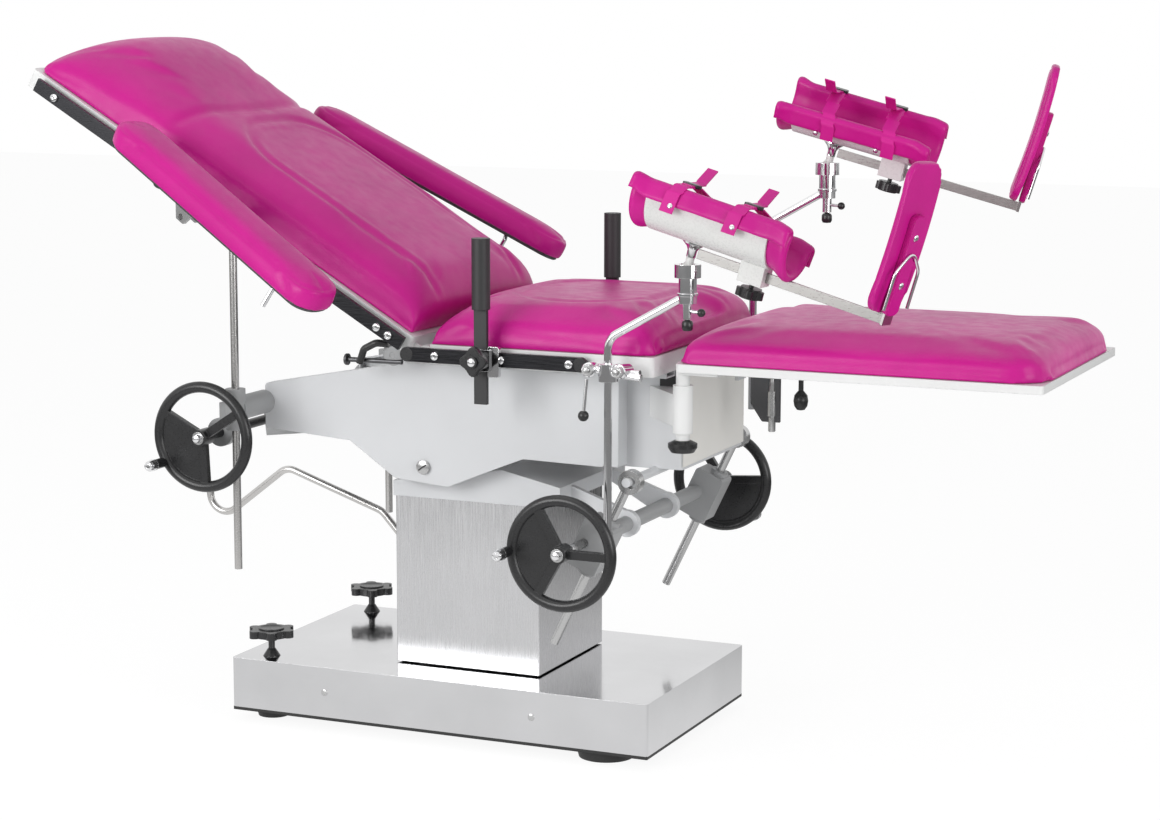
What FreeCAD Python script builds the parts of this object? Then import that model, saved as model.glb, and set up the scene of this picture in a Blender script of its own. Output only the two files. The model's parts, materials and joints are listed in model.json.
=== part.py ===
import FreeCAD, Part
import math
import os
import re
import Sketcher

# Obstetric delivery table, in millimetres.
# The origin lies on the floor below the middle of the whole table, +X runs towards the foot end,
# -Y is the near side and +Z is up. Lengths along X are counted from the middle of the lift column.

SIZES = [
    # whole table
    ("column_x", -117.2, "middle of the lift column from the origin"),
    ("sheet_thick", 2.0, "stainless sheet of the covers"),
    ("run_gap", 0.05, "radial clearance of a running fit"),
    ("slide_gap", 0.3, "clearance of a sliding fit or a resting joint"),
    # base
    ("base_long", 828.0, "length of the base"),
    ("base_wide", 472.0, "width of the base"),
    ("base_shift", -23.0, "middle of the base from the column"),
    ("base_high", 119.0, "top of the base above the floor"),
    ("base_plate_thick", 6.0, "base plate"),
    ("base_trim", 1.0, "the base plate stands back from the cover by this"),
    ("base_corner", 5.0, "rounding of the base's upright corners"),
    ("foot_high", 20.0, "height of the rubber feet"),
    ("head_foot_radius", 34.0, "feet at the head end"),
    ("end_foot_radius", 54.0, "feet at the foot end"),
    ("foot_taper", 5.0, "the feet narrow by this towards the floor"),
    ("head_foot_x", -388.0, "feet at the head end from the column"),
    ("end_foot_x", 286.0, "feet at the foot end from the column"),
    ("foot_y", 170.0, "feet from the middle plane"),
    # floor locks
    ("lock_x", -376.0, "floor lock screws from the column"),
    ("lock_y", 196.0, "floor lock screws from the middle plane"),
    ("lock_screw_radius", 6.0, "floor lock screw"),
    ("lock_knob_radius", 45.0, "lobed knob of the floor lock"),
    ("lock_knob_thick", 20.0, "thickness of that knob"),
    ("lock_knob_high", 31.0, "underside of that knob above the base"),
    ("lock_lobe_radius", 10.0, "lobes of that knob"),
    ("lock_nut_radius", 16.0, "cone nut on the screw"),
    ("lock_nut_high", 14.0, "height of the cone nut"),
    # lift column
    ("inner_wide", 250.0, "fixed inner column"),
    ("inner_wall", 5.0, "its wall"),
    ("inner_top", 412.0, "its top above the floor"),
    ("sleeve_wide", 286.0, "moving sleeve of the column"),
    ("sleeve_gap", 3.0, "the sleeve's lower edge above the base"),
    ("sleeve_top", 430.0, "top of the sleeve"),
    ("cylinder_radius", 35.0, "lift cylinder"),
    ("cylinder_top", 330.0, "its top above the floor"),
    ("cylinder_floor", 15.0, "its closed end"),
    ("ram_radius", 20.0, "lift ram"),
    ("ram_foot", 70.0, "lower end of the ram above the floor"),
    # saddle
    ("saddle_half_wide", 148.0, "saddle from the middle plane"),
    ("saddle_head", -145.0, "head end of the saddle"),
    ("saddle_head_high", 458.0, "its top there"),
    ("saddle_peak_x", 73.0, "peak of the saddle"),
    ("saddle_peak_high", 492.0, "its top there"),
    ("saddle_end", 186.0, "foot end of the saddle"),
    ("saddle_end_high", 468.0, "its top there"),
    ("saddle_end_low", 441.0, "its underside there"),
    ("saddle_wall", 6.0, "wall of the saddle"),
    ("pivot_x", -60.5, "tilt shaft from the column"),
    ("pivot_z", 495.0, "tilt shaft above the floor"),
    ("pivot_radius", 15.0, "tilt shaft"),
    ("pivot_lug_radius", 30.0, "lugs round the tilt shaft"),
    ("pivot_lug_thick", 30.0, "thickness of a lug"),
    ("pivot_bolt_radius", 8.0, "shank of a pivot bolt"),
    ("pivot_head_radius", 13.0, "head of a pivot bolt"),
    ("pivot_head_thick", 5.0, "its thickness"),
    # pump lever
    ("pump_x", -166.0, "pivot of the pump lever"),
    ("pump_y", 75.0, "pump lever from the middle plane"),
    ("pump_z", 220.0, "its height"),
    ("pump_rod_radius", 7.0, "rod of the lever"),
    ("pump_eye_radius", 15.0, "eye of the lever"),
    ("pump_eye_wide", 20.0, "its width"),
    ("pump_pin_radius", 5.0, "pivot pin of the lever"),
    ("pump_lug_thick", 8.0, "lugs on the sleeve"),
    ("pump_bend", 34.0, "bend radius of the lever"),
    ("pump_knee_x", -287.0, "first bend of the lever"),
    ("pump_knee_z", 350.0, "its height"),
    ("pump_crest_x", -494.0, "crest of the lever"),
    ("pump_crest_z", 420.0, "its height"),
    ("pump_toe_x", -664.0, "low bend of the lever"),
    ("pump_toe_z", 289.0, "its height"),
    ("pump_tip_x", -668.0, "tip of the lever"),
    ("pump_tip_z", 359.0, "its height"),
    # table frame
    ("plate_y", 191.0, "outside of the side plates from the middle plane"),
    ("plate_deep", 22.0, "depth of their rim"),
    ("plate_wall", 3.0, "their sheet"),
    ("plate_top", 681.0, "their top edge"),
    ("plate_corner", 8.0, "rounding of their corners"),
    ("plate_tip_x", -384.0, "their head end"),
    ("plate_tip_top", 627.0, "their top at the head end"),
    ("plate_tip_low", 545.0, "their lower edge at the head end"),
    ("plate_end_x", 290.0, "their foot end"),
    ("plate_chin_x", -14.0, "lowest point of the side plates"),
    ("plate_chin_z", 462.0, "its height"),
    ("beam_wide", 40.0, "frame beams"),
    ("beam_wall", 3.0, "their wall"),
    ("end_box_x", 418.0, "foot end of the end box"),
    ("end_box_half_wide", 149.0, "end box from the middle plane"),
    ("end_box_low", 517.0, "underside of the end box"),
    ("end_post_wide", 24.0, "corner posts of the end box"),
    ("shelf_thick", 8.0, "shelf on the end box that the leg pan rests on"),
    ("shelf_reach", 34.0, "it reaches under the leg pan by this"),
    ("shelf_inset", 48.0, "its inner side from the side of the end box"),
    ("shelf_outset", 80.0, "its outer side from the side of the end box"),
    ("shelf_drop", 40.0, "its foot below the top of the end box"),
    # seat
    ("seat_head", -15.0, "head end of the seat pan"),
    ("seat_end", 407.0, "foot end of the seat pan"),
    ("seat_half_wide", 260.0, "pans from the middle plane"),
    ("seat_top", 726.0, "top of the seat pan"),
    ("pan_deep", 34.0, "depth of the seat and back pans"),
    ("pan_wall", 3.0, "their sheet"),
    ("seat_foam", 72.0, "thickness of the seat cushion"),
    ("foam_inset", 2.0, "the cushions stand back from the pans by this"),
    ("foam_round", 26.0, "rounding of the cushions' upper edges"),
    # accessory rails
    ("rail_high", 25.0, "accessory rail"),
    ("rail_thick", 8.0, "its thickness"),
    ("rail_stand", 10.0, "rail from the pan"),
    ("rail_drop", 17.0, "middle of the rail below the top of the pan"),
    ("rail_head", -49.0, "head end of the seat rail"),
    ("rail_end", 281.0, "foot end of the seat rail"),
    ("spacer_radius", 9.0, "spacers behind the rails"),
    ("rail_bolt_radius", 7.0, "bolt heads on the rails"),
    ("rail_bolt_thick", 3.0, "their thickness"),
    # back section
    ("hinge_x", -31.0, "back hinge from the column"),
    ("hinge_z", 706.0, "back hinge above the floor"),
    ("back_angle", 30.4, "back section above the level at rest"),
    ("back_foot", 27.0, "foot end of the back pan from the hinge"),
    ("back_long", 900.0, "length of the back pan"),
    ("hinge_pin_radius", 6.0, "hinge pins"),
    ("hinge_ear_radius", 15.0, "hinge ears"),
    ("hinge_ear_thick", 8.0, "their thickness"),
    ("hinge_inset", 28.0, "hinge ears from the sides of the pans"),
    ("back_foam", 92.0, "thickness of the back cushion"),
    ("pillow_foam", 112.0, "thickness of the head pillow"),
    ("pillow_start", 640.0, "the pillow starts here, from the hinge"),
    ("pillow_crest", 790.0, "its crest, from the hinge"),
    ("crease_angle", 35.0, "slope of the cushion ends at the back hinge"),
    # back lift
    ("lift_box_x", -428.0, "crossing of hand shaft and lead screw"),
    ("lift_box_z", 546.0, "its height"),
    ("lift_screw_rise", 7.0, "rise of the lead screw towards the foot end, degrees"),
    ("lift_screw_radius", 9.0, "lead screw"),
    ("lift_screw_long", 545.0, "its length"),
    ("lift_shaft_radius", 9.0, "hand shaft"),
    ("lift_box_long", 94.0, "gear housing along the table"),
    ("lift_box_wide", 84.0, "gear housing across the table"),
    ("lift_box_high", 78.0, "its height"),
    ("lift_nut_radius", 19.0, "travelling nut"),
    ("lift_nut_long", 46.0, "its length"),
    ("lift_pin_radius", 8.0, "trunnion pins of the nut"),
    ("lift_pin_reach", 34.0, "trunnion ends from the middle plane"),
    ("lift_fork_gap", 21.5, "fork plates from the middle plane"),
    ("lift_fork_thick", 8.0, "their thickness"),
    ("lift_fork_wide", 44.0, "their width"),
    ("lift_play", 4.2, "play of the trunnions in the fork"),
    ("lift_fork_mid", 35.0, "back angle at which the fork stands square to the screw"),
    ("cross_bar_x", -381.0, "head end of the cross bar between the side plates"),
    ("cross_bar_long", 36.0, "cross bar along the table"),
    ("cross_bar_low", 552.0, "underside of the cross bar"),
    ("cross_bar_high", 58.0, "its height"),
    # tilt jack
    ("jack_x", 292.0, "cross shaft of the tilt jack"),
    ("jack_z", 404.0, "its height"),
    ("jack_y", 260.0, "jack screws from the middle plane"),
    ("jack_lean", 64.4, "rise of the jack screws, degrees"),
    ("jack_offset", 20.0, "screw beside the cross shaft"),
    ("jack_screw_radius", 8.0, "jack screw"),
    ("jack_screw_low", 197.0, "screw below the cross shaft"),
    ("jack_screw_high", 130.0, "screw eye above the cross shaft"),
    ("jack_box_wide", 58.0, "gearbox across the screw"),
    ("jack_box_long", 92.0, "gearbox along the screw"),
    ("jack_box_thick", 50.0, "gearbox across the table"),
    ("jack_tube_radius", 14.0, "cross tube"),
    ("jack_shaft_radius", 8.0, "cross shaft"),
    ("jack_eye_radius", 21.0, "eye of the jack screw"),
    ("jack_eye_wide", 18.0, "its width"),
    ("jack_pin_radius", 8.0, "pin of the jack screw"),
    ("jack_play", 1.1, "play of that pin along the screw"),
    ("jack_slot_back", 1.5, "the eye's slot reaches back from the screw by this"),
    ("jack_slot_front", 5.5, "and forward by this"),
    ("jack_arm_y", 100.0, "arms that carry the cross tube"),
    ("jack_arm_thick", 12.0, "their thickness"),
    ("jack_arm_boss", 24.0, "their bosses"),
    # handwheels
    ("wheel_radius", 100.0, "handwheel"),
    ("wheel_rim_radius", 10.0, "its rim"),
    ("wheel_hub_radius", 15.0, "its hub"),
    ("wheel_hub_long", 34.0, "length of the hub"),
    ("wheel_web_thick", 6.0, "web between two spokes"),
    ("wheel_spoke_wide", 15.0, "width of a spoke"),
    ("wheel_spoke_thick", 11.0, "thickness of a spoke"),
    ("tilt_wheel_y", 380.0, "tilt wheels from the middle plane"),
    ("back_wheel_stand", 44.0, "back wheel outside the armrest post"),
    ("crank_pin_radius", 4.0, "pin of the crank handle"),
    ("crank_radius", 9.0, "crank handle"),
    ("crank_long", 52.0, "its length"),
    ("near_wheel_turn", 180.0, "direction of the near tilt wheel's crank"),
    ("far_wheel_turn", 56.0, "direction of the far tilt wheel's crank, seen from outside"),
    ("back_wheel_turn", 213.0, "direction of the back wheel's crank"),
    # leg section
    ("leg_head", 446.0, "head end of the leg pan"),
    ("leg_end", 1072.0, "foot end of the leg pan"),
    ("leg_top", 718.0, "top of the leg pan"),
    ("leg_pan_deep", 14.0, "its depth"),
    ("leg_foam", 54.0, "thickness of the leg cushion"),
    ("leg_corner", 60.0, "rounding of its foot end corners"),
    ("leg_hinge_x", 448.0, "swing pin of the leg section"),
    ("leg_hinge_inset", 34.0, "swing pin from the side of the leg pan"),
    ("leg_sleeve_radius", 17.0, "sleeve round the swing pin"),
    ("leg_sleeve_low", 596.0, "its lower end"),
    ("leg_sleeve_top", 678.0, "its upper end"),
    ("leg_pin_radius", 12.0, "swing pin"),
    ("leg_knob_radius", 25.0, "knob below the swing pin"),
    ("leg_knob_thick", 20.0, "its thickness"),
    ("leg_flange", 70.0, "flange of the swing pin under the pan"),
    ("leg_flange_thick", 6.0, "its thickness"),
    ("leg_arm_low", 608.0, "underside of the hinge arm"),
    ("leg_arm_high", 54.0, "height of the hinge arm"),
    # armrests
    ("post_x", -386.0, "armrest posts from the column"),
    ("post_stand", 14.0, "armrest posts outside the rails"),
    ("post_radius", 7.0, "armrest post"),
    ("post_low", 301.0, "lower end of the posts"),
    ("post_top", 945.0, "pivot of the armrest above the floor"),
    ("arm_angle", 28.5, "slope of the armrest pads"),
    ("arm_splay", 17.0, "the pads open towards the foot end by this, degrees"),
    ("arm_long", 572.0, "length of an armrest pad"),
    ("arm_wide", 92.0, "width of an armrest pad"),
    ("arm_thick", 40.0, "thickness of an armrest pad"),
    ("arm_board", 6.0, "board under the pad"),
    ("arm_out", 102.0, "middle of the pad from the post"),
    ("arm_reach", 214.0, "pivot from the head end of the pad"),
    ("arm_drop", 28.0, "pivot below the board"),
    ("arm_pin_radius", 6.0, "pivot pin of the armrest"),
    ("post_clamp_low", 556.0, "lower end of the post clamps"),
    ("post_clamp_high", 74.0, "height of the post clamps"),
    ("post_clamp_radius", 18.0, "post clamps"),
    ("bearing_radius", 26.0, "bearing of the hand shaft beside the clamp"),
    ("clamp_arm_thick", 16.0, "casting between side plate and clamp"),
    # hand grips
    ("grip_x", 100.0, "hand grips from the column"),
    ("grip_radius", 16.0, "hand grip"),
    ("grip_low", 796.0, "lower end of the grip"),
    ("grip_top", 918.0, "upper end of the grip"),
    ("blade_low", 632.0, "lower end of the blade"),
    ("blade_wide", 24.0, "blade below the grip"),
    ("blade_thick", 8.0, "its thickness"),
    ("clamp_wide", 40.0, "rail clamps"),
    ("clamp_wall", 6.0, "their wall"),
    ("clamp_gap", 5.0, "blade from the rail"),
    ("grip_knob_radius", 17.0, "knob of the rail clamp"),
    ("grip_knob_thick", 24.0, "its thickness"),
    ("grip_screw_radius", 4.0, "its screw"),
    # leg supports
    ("support_x", 342.0, "leg support posts from the column"),
    ("support_stand", 22.0, "leg support posts outside the rails"),
    ("support_radius", 7.0, "rod of the leg support"),
    ("support_low", 425.0, "lower end of the rod"),
    ("support_bend_z", 760.0, "bend of the near rod"),
    ("support_bend", 30.0, "its radius"),
    ("support_raise", 133.0, "the far support stands higher by this"),
    ("support_lead", 38.0, "and further to the foot end by this"),
    ("support_clamp_z", 703.0, "middle of the post clamps"),
    ("support_clamp_high", 30.0, "their height"),
    ("support_clamp_radius", 17.0, "their radius"),
    ("socket_x", 484.0, "ball joint of the near support"),
    ("socket_low", 826.0, "its lower end"),
    ("socket_z", 884.0, "centre of the ball"),
    ("socket_radius", 15.0, "lower part of the socket"),
    ("collar_radius", 22.0, "collar of the socket"),
    ("collar_high", 22.0, "height of the collar"),
    ("collar_under", 15.0, "the collar reaches below the ball's centre by this"),
    ("mouth_depth", 30.0, "flare of the collar's mouth"),
    ("mouth_room", 1.5, "the collar's mouth stands off the stem by this at the ball's centre"),
    ("stub_reach", 26.0, "stub below the socket"),
    ("stub_lap", 4.0, "the stub runs up into the socket by this"),
    ("ball_radius", 12.0, "ball"),
    ("stem_radius", 7.0, "stem on the ball"),
    ("stem_long", 44.0, "stem from ball to shell"),
    ("rest_slope", 15.0, "slope of the leg rest"),
    ("rest_splay", 5.0, "the leg rests open towards the foot end by this, degrees"),
    ("rest_roll", 20.0, "the shells lean towards the middle plane by this, degrees"),
    ("rest_start", -78.0, "head end of the shell from the stem"),
    ("rest_long", 225.0, "length of the shell"),
    ("rest_radius", 56.0, "outside of the shell"),
    ("rest_wall", 4.0, "its wall"),
    ("rest_open", 4.0, "the shell's rims above its middle line"),
    ("calf_pad_thick", 9.0, "lining of the shell"),
    ("calf_pad_head", 30.0, "the lining overhangs the head end by this"),
    ("calf_pad_foot", 38.0, "and the foot end by this"),
    ("bar_wide", 16.0, "foot bar"),
    ("bar_thick", 6.0, "its thickness"),
    ("bar_long", 342.0, "its length"),
    ("bar_start", 12.0, "its head end from the stem"),
    ("bar_drop", 15.0, "foot bar below the shell"),
    ("block_wide", 44.0, "clamp block of the foot bar"),
    ("block_deep", 34.0, "clamp block across the bar"),
    ("block_at", 118.0, "clamp block from the stem"),
    ("star_radius", 24.0, "star knob below the clamp block"),
    ("star_thick", 17.0, "its thickness"),
    ("star_gap", 8.0, "star knob below the block"),
    ("star_screw_radius", 4.0, "its screw"),
    ("sole_long", 250.0, "length of the foot pad"),
    ("sole_wide", 96.0, "its width"),
    ("sole_thick", 16.0, "its thickness"),
    ("sole_gap", 10.0, "foot pad above the middle of the bar"),
    ("sole_lean", 17.0, "lean of the foot pad from upright"),
    ("sole_splay", 10.0, "the foot pads turn outwards by this, degrees"),
    ("sole_strip_wide", 26.0, "strip behind the foot pad"),
    ("sole_strip_thick", 5.0, "its thickness"),
    ("sole_strip_high", 170.0, "its height"),
]

NAMES = {name for name, value, meaning in SIZES}
WORD = re.compile(r"[a-z][a-z_]*[a-z]")

doc = FreeCAD.newDocument("DeliveryTable")
sheet = doc.addObject("Spreadsheet::Sheet", "Sizes")
for row, (name, value, meaning) in enumerate(SIZES, start=1):
    sheet.set(f"A{row}", name)
    sheet.set(f"B{row}", str(value))
    sheet.setAlias(f"B{row}", name)
    sheet.set(f"C{row}", meaning)
doc.recompute()

# Lengths that follow from the sizes
BASE_LOW = "(foot_high + base_plate_thick)"
PLATE_IN = "(plate_y - plate_wall)"
RAIL_FACE = "(seat_half_wide + rail_stand)"
RAIL_OUT = "(seat_half_wide + rail_stand + rail_thick)"
HINGE_Y = "(seat_half_wide - hinge_inset)"
LEG_HINGE_Y = "(seat_half_wide - leg_hinge_inset)"
POST_Y = f"({RAIL_OUT} + post_stand)"
SUPPORT_Y = f"({RAIL_OUT} + support_stand)"
BACK_WHEEL_Y = f"({POST_Y} + back_wheel_stand)"
BACK_PAN_TOP = "(seat_top - hinge_z)"
FORK_REACH = ("((hinge_x - lift_box_x) * sin(lift_screw_rise) * -1"
              " + (hinge_z - lift_box_z) * cos(lift_screw_rise))")
NUT_MIDDLE = ("((hinge_x - lift_box_x) * cos(lift_screw_rise)"
              " + (hinge_z - lift_box_z) * sin(lift_screw_rise))")
NUT_AT = f"({NUT_MIDDLE} - {FORK_REACH} * tan(back_angle - lift_fork_mid))"
ORIGIN = FreeCAD.Vector(0, 0, 0)
ALONG_X = FreeCAD.Vector(1, 0, 0)
ALONG_Y = FreeCAD.Vector(0, 1, 0)
ALONG_Z = FreeCAD.Vector(0, 0, 1)
NEAR = -1
FAR = 1

finished = []


def size(expression):
    """The value of an expression of sheet sizes."""
    return float(sheet.evalExpression(str(expression)))


def tied(expression):
    """The same expression as other objects have to write it."""
    return WORD.sub(lambda word: "Sizes." + word[0] if word[0] in NAMES else word[0], str(expression))


def tie(thing, field, expression):
    thing.setExpression(field, tied(expression))


def place(thing, x=0, y=0, z=0, axis=None, turn=None):
    """Stand an object at a place counted from the column, turned about an axis."""
    if axis is not None:
        thing.Placement = FreeCAD.Placement(ORIGIN, FreeCAD.Rotation(axis, size(turn) or 1.0))
        tie(thing, "Placement.Rotation.Angle", turn)
    tie(thing, "Placement.Base.x", f"column_x + {x}")
    tie(thing, "Placement.Base.y", y)
    tie(thing, "Placement.Base.z", z)
    return thing


def local(thing, x=0, y=0, z=0, axis=None, turn=None):
    """Stand a raw shape at a place inside its own sub-part."""
    if axis is not None:
        thing.Placement = FreeCAD.Placement(ORIGIN, FreeCAD.Rotation(axis, size(turn) or 1.0))
        tie(thing, "Placement.Rotation.Angle", turn)
    tie(thing, "Placement.Base.x", x)
    tie(thing, "Placement.Base.y", y)
    tie(thing, "Placement.Base.z", z)
    return thing


def finish(thing, name):
    thing.Label = name
    finished.append(thing)
    return thing


# Bodies and sketches


def new_body(name):
    return doc.addObject("PartDesign::Body", name + "_body")


def sketch_of(body, role, loops, level=0):
    """A sketch of closed loops: a list of corner points, or a circle (x, y, radius)."""
    sketch = body.newObject("Sketcher::SketchObject", body.Name + "_sketch")
    plane = next(item for item in body.Origin.OriginFeatures if item.Role == role)
    sketch.AttachmentSupport = [(plane, "")]
    sketch.MapMode = "FlatFace"
    tie(sketch, "AttachmentOffset.Base.z", level)
    for loop in loops:
        if isinstance(loop, tuple):
            add_circle(sketch, *loop)
        else:
            add_polygon(sketch, loop)
    return sketch


def pin_down(sketch, item, spot, x, y):
    for kind, expression in (("DistanceX", x), ("DistanceY", y)):
        number = sketch.addConstraint(
            Sketcher.Constraint(kind, -1, 1, item, spot, size(expression)))
        tie(sketch, f"Constraints[{number}]", expression)


def add_circle(sketch, x, y, radius):
    centre = FreeCAD.Vector(size(x), size(y), 0)
    item = sketch.addGeometry(Part.Circle(centre, ALONG_Z, size(radius)))
    number = sketch.addConstraint(Sketcher.Constraint("Radius", item, size(radius)))
    tie(sketch, f"Constraints[{number}]", radius)
    pin_down(sketch, item, 3, x, y)


def add_polygon(sketch, corners):
    points = [FreeCAD.Vector(size(x), size(y), 0) for x, y in corners]
    first = sketch.GeometryCount
    count = len(points)
    for index, point in enumerate(points):
        sketch.addGeometry(Part.LineSegment(point, points[(index + 1) % count]))
    for index in range(count):
        following = first + (index + 1) % count
        sketch.addConstraint(Sketcher.Constraint("Coincident", first + index, 2, following, 1))
    for index, (x, y) in enumerate(corners):
        pin_down(sketch, first + index, 1, x, y)


def rectangle(x_low, x_high, y_low, y_high):
    return [(x_low, y_low), (x_high, y_low), (x_high, y_high), (x_low, y_high)]


def centred(wide, deep):
    return rectangle(f"-({wide}) / 2", f"({wide}) / 2", f"-({deep}) / 2", f"({deep}) / 2")


def pad(body, role, loops, length, level=0, both=False, back=False):
    sketch = sketch_of(body, role, loops, level)
    feature = body.newObject("PartDesign::Pad", body.Name + "_pad")
    feature.Profile = sketch
    feature.SideType = "Symmetric" if both else "One side"
    feature.Reversed = back
    tie(feature, "Length", length)
    return feature


def pocket(body, role, loops, length, level=0, both=False, back=False):
    """A pocket, with a check that it really took something away."""
    doc.recompute()
    before = body.Shape.Volume
    sketch = sketch_of(body, role, loops, level)
    feature = body.newObject("PartDesign::Pocket", body.Name + "_pocket")
    feature.Profile = sketch
    feature.SideType = "Symmetric" if both else "One side"
    feature.Reversed = back
    tie(feature, "Length", length)
    doc.recompute()
    if body.Shape.Volume >= before:
        raise ValueError(f"a pocket of {body.Name} cuts nothing")
    return feature


def turned(name, profile):
    """A body of revolution about its own Z axis, from (radius, height) points."""
    body = new_body(name)
    sketch = sketch_of(body, "XZ_Plane", [profile])
    feature = body.newObject("PartDesign::Revolution", name + "_turn")
    feature.Profile = sketch
    feature.ReferenceAxis = (sketch, ["V_Axis"])
    feature.Angle = 360
    return body


def edges_of(feature, wanted):
    """Names of the straight edges that a test picks by their direction and middle."""
    doc.recompute()
    names = []
    for number, edge in enumerate(feature.Shape.Edges, start=1):
        if edge.Curve.TypeId != "Part::GeomLine":
            continue
        direction = edge.tangentAt(edge.FirstParameter)
        if wanted(direction, edge.CenterOfMass):
            names.append(f"Edge{number}")
    return names


def rounded(body, wanted, radius):
    base = body.Tip
    names = edges_of(base, wanted)
    if not names:
        raise ValueError(f"no edge of {body.Name} to round")
    feature = body.newObject("PartDesign::Fillet", body.Name + "_round")
    feature.Base = (base, names)
    tie(feature, "Radius", radius)
    return feature


def upright(direction, middle):
    return abs(direction.z) > 0.99


def across(direction, middle):
    return abs(direction.y) > 0.99


# Raw shapes that are joined or cut


def box(x_low, x_high, y_low, y_high, z_low, z_high):
    thing = doc.addObject("Part::Box", "Block")
    tie(thing, "Length", f"{x_high} - ({x_low})")
    tie(thing, "Width", f"{y_high} - ({y_low})")
    tie(thing, "Height", f"{z_high} - ({z_low})")
    return local(thing, x_low, y_low, z_low)


def rod(radius, start, long, x=0, y=0, z=0, along="z"):
    """A round bar of a given length; start is where it begins along its own direction."""
    thing = doc.addObject("Part::Cylinder", "Rod")
    tie(thing, "Radius", radius)
    tie(thing, "Height", long)
    spot = {"x": x, "y": y, "z": z}
    spot[along] = f"{spot[along]} + {start}"
    turns = {"x": (ALONG_Y, 90), "y": (ALONG_X, -90), "z": (None, None)}
    return local(thing, spot["x"], spot["y"], spot["z"], *turns[along])


def span(side, near_middle, outside):
    """The low and high Y of a piece that reaches from one distance to another on one side."""
    if side == FAR:
        return near_middle, outside
    return f"-({outside})", f"-({near_middle})"


def joined(name, pieces):
    thing = doc.addObject("Part::MultiFuse", name)
    thing.Shapes = pieces
    thing.Refine = True
    return thing


def without(name, base, tool):
    thing = doc.addObject("Part::Cut", name)
    thing.Base = base
    thing.Tool = tool
    return thing


def group(name, pieces):
    thing = doc.addObject("Part::Compound", name)
    thing.Links = pieces
    return thing


def mirrored(thing, name):
    """The same piece on the other side of the middle plane."""
    copy = doc.addObject("Part::Mirroring", name)
    copy.Source = thing
    copy.Normal = ALONG_Y
    copy.Base = ORIGIN
    return copy


def bent_path(stops, bend):
    """Straight runs between the stops, joined by tangent arcs."""
    edges = []
    start = stops[0]
    for before, corner, after in zip(stops, stops[1:], stops[2:]):
        back_way = (before - corner).normalize()
        fore_way = (after - corner).normalize()
        half = back_way.getAngle(fore_way) / 2
        reach = bend / math.tan(half)
        first = corner + back_way * reach
        last = corner + fore_way * reach
        middle_way = (back_way + fore_way).normalize()
        crown = corner + middle_way * (bend / math.sin(half) - bend)
        edges.append(Part.LineSegment(start, first).toShape())
        edges.append(Part.Arc(first, crown, last).toShape())
        start = last
    edges.append(Part.LineSegment(start, stops[-1]).toShape())
    return Part.Wire(edges)


def bent_rod(stops, radius, bend):
    """A round rod bent along its stops; it is swept, so the sheet's values are read here."""
    points = [FreeCAD.Vector(*[size(value) for value in stop]) for stop in stops]
    path = bent_path(points, size(bend))
    way = points[1] - points[0]
    ring = Part.Wire([Part.Circle(points[0], way, size(radius)).toShape()])
    thing = doc.addObject("Part::Feature", "BentRod")
    thing.Shape = path.makePipeShell([ring], True, False)
    return thing


# Base


def make_base():
    cover = new_body("base_cover")
    tall = f"base_high - {BASE_LOW}"
    pad(cover, "XY_Plane", [centred("base_long", "base_wide")], tall)
    rounded(cover, upright, "base_corner")
    inside = [centred("base_long - 2 * sheet_thick", "base_wide - 2 * sheet_thick")]
    pocket(cover, "XY_Plane", inside, f"{tall} - sheet_thick", back=True)
    mouth = "(inner_wide / 2 + slide_gap)"
    hole = rectangle(f"-base_shift - {mouth}", f"-base_shift + {mouth}", f"-{mouth}", mouth)
    lock_bore = "lock_screw_radius + run_gap"
    locks = [("lock_x - base_shift", f"{side} * lock_y", lock_bore) for side in (NEAR, FAR)]
    pocket(cover, "XY_Plane", [hole] + locks, tall, back=True)
    finish(place(cover, "base_shift", 0, BASE_LOW), "base_cover")

    plate = new_body("base_plate")
    outline = centred("base_long - 2 * base_trim", "base_wide - 2 * base_trim")
    locks = [("lock_x - base_shift", f"{side} * lock_y", lock_bore) for side in (NEAR, FAR)]
    pad(plate, "XY_Plane", [outline] + locks, "base_plate_thick")
    feet = [local(plate, "base_shift", 0, "foot_high")]
    for x, radius in (("head_foot_x", "head_foot_radius"), ("end_foot_x", "end_foot_radius")):
        for side in (NEAR, FAR):
            foot = doc.addObject("Part::Cone", "Foot")
            tie(foot, "Radius1", f"{radius} - foot_taper")
            tie(foot, "Radius2", radius)
            tie(foot, "Height", "foot_high")
            feet.append(local(foot, x, f"{side} * foot_y"))
    finish(place(group("base_plate_and_feet", feet)), "base_plate")


def make_floor_lock(name, side):
    """A lobed knob on a screw through the base, with its cone nut."""
    top = "lock_knob_high + lock_knob_thick"
    profile = [
        (0, "foot_high + slide_gap - base_high"),
        ("lock_screw_radius", "foot_high + slide_gap - base_high"),
        ("lock_screw_radius", "slide_gap"),
        ("lock_nut_radius", "slide_gap"),
        ("lock_screw_radius * 1.2", "lock_nut_high"),
        ("lock_screw_radius", "lock_nut_high"),
        ("lock_screw_radius", "lock_knob_high"),
        ("lock_screw_radius * 2", "lock_knob_high"),
        ("lock_knob_radius - lock_lobe_radius", "lock_knob_high + lock_knob_thick / 3"),
        ("lock_knob_radius - lock_lobe_radius", top),
        (0, top),
    ]
    screw = turned(name + "_turned", profile)
    lobes = []
    for index in range(6):
        turn = index * 60
        lobe = rod("lock_lobe_radius", "lock_knob_high + lock_knob_thick / 3",
                   "lock_knob_thick * 2 / 3",
                   f"(lock_knob_radius - lock_lobe_radius) * cos({turn})",
                   f"(lock_knob_radius - lock_lobe_radius) * sin({turn})")
        lobes.append(lobe)
    knob = joined(name, [screw] + lobes)
    finish(place(knob, "lock_x", f"{side} * lock_y", "base_high"), name)


# Lift column


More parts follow.
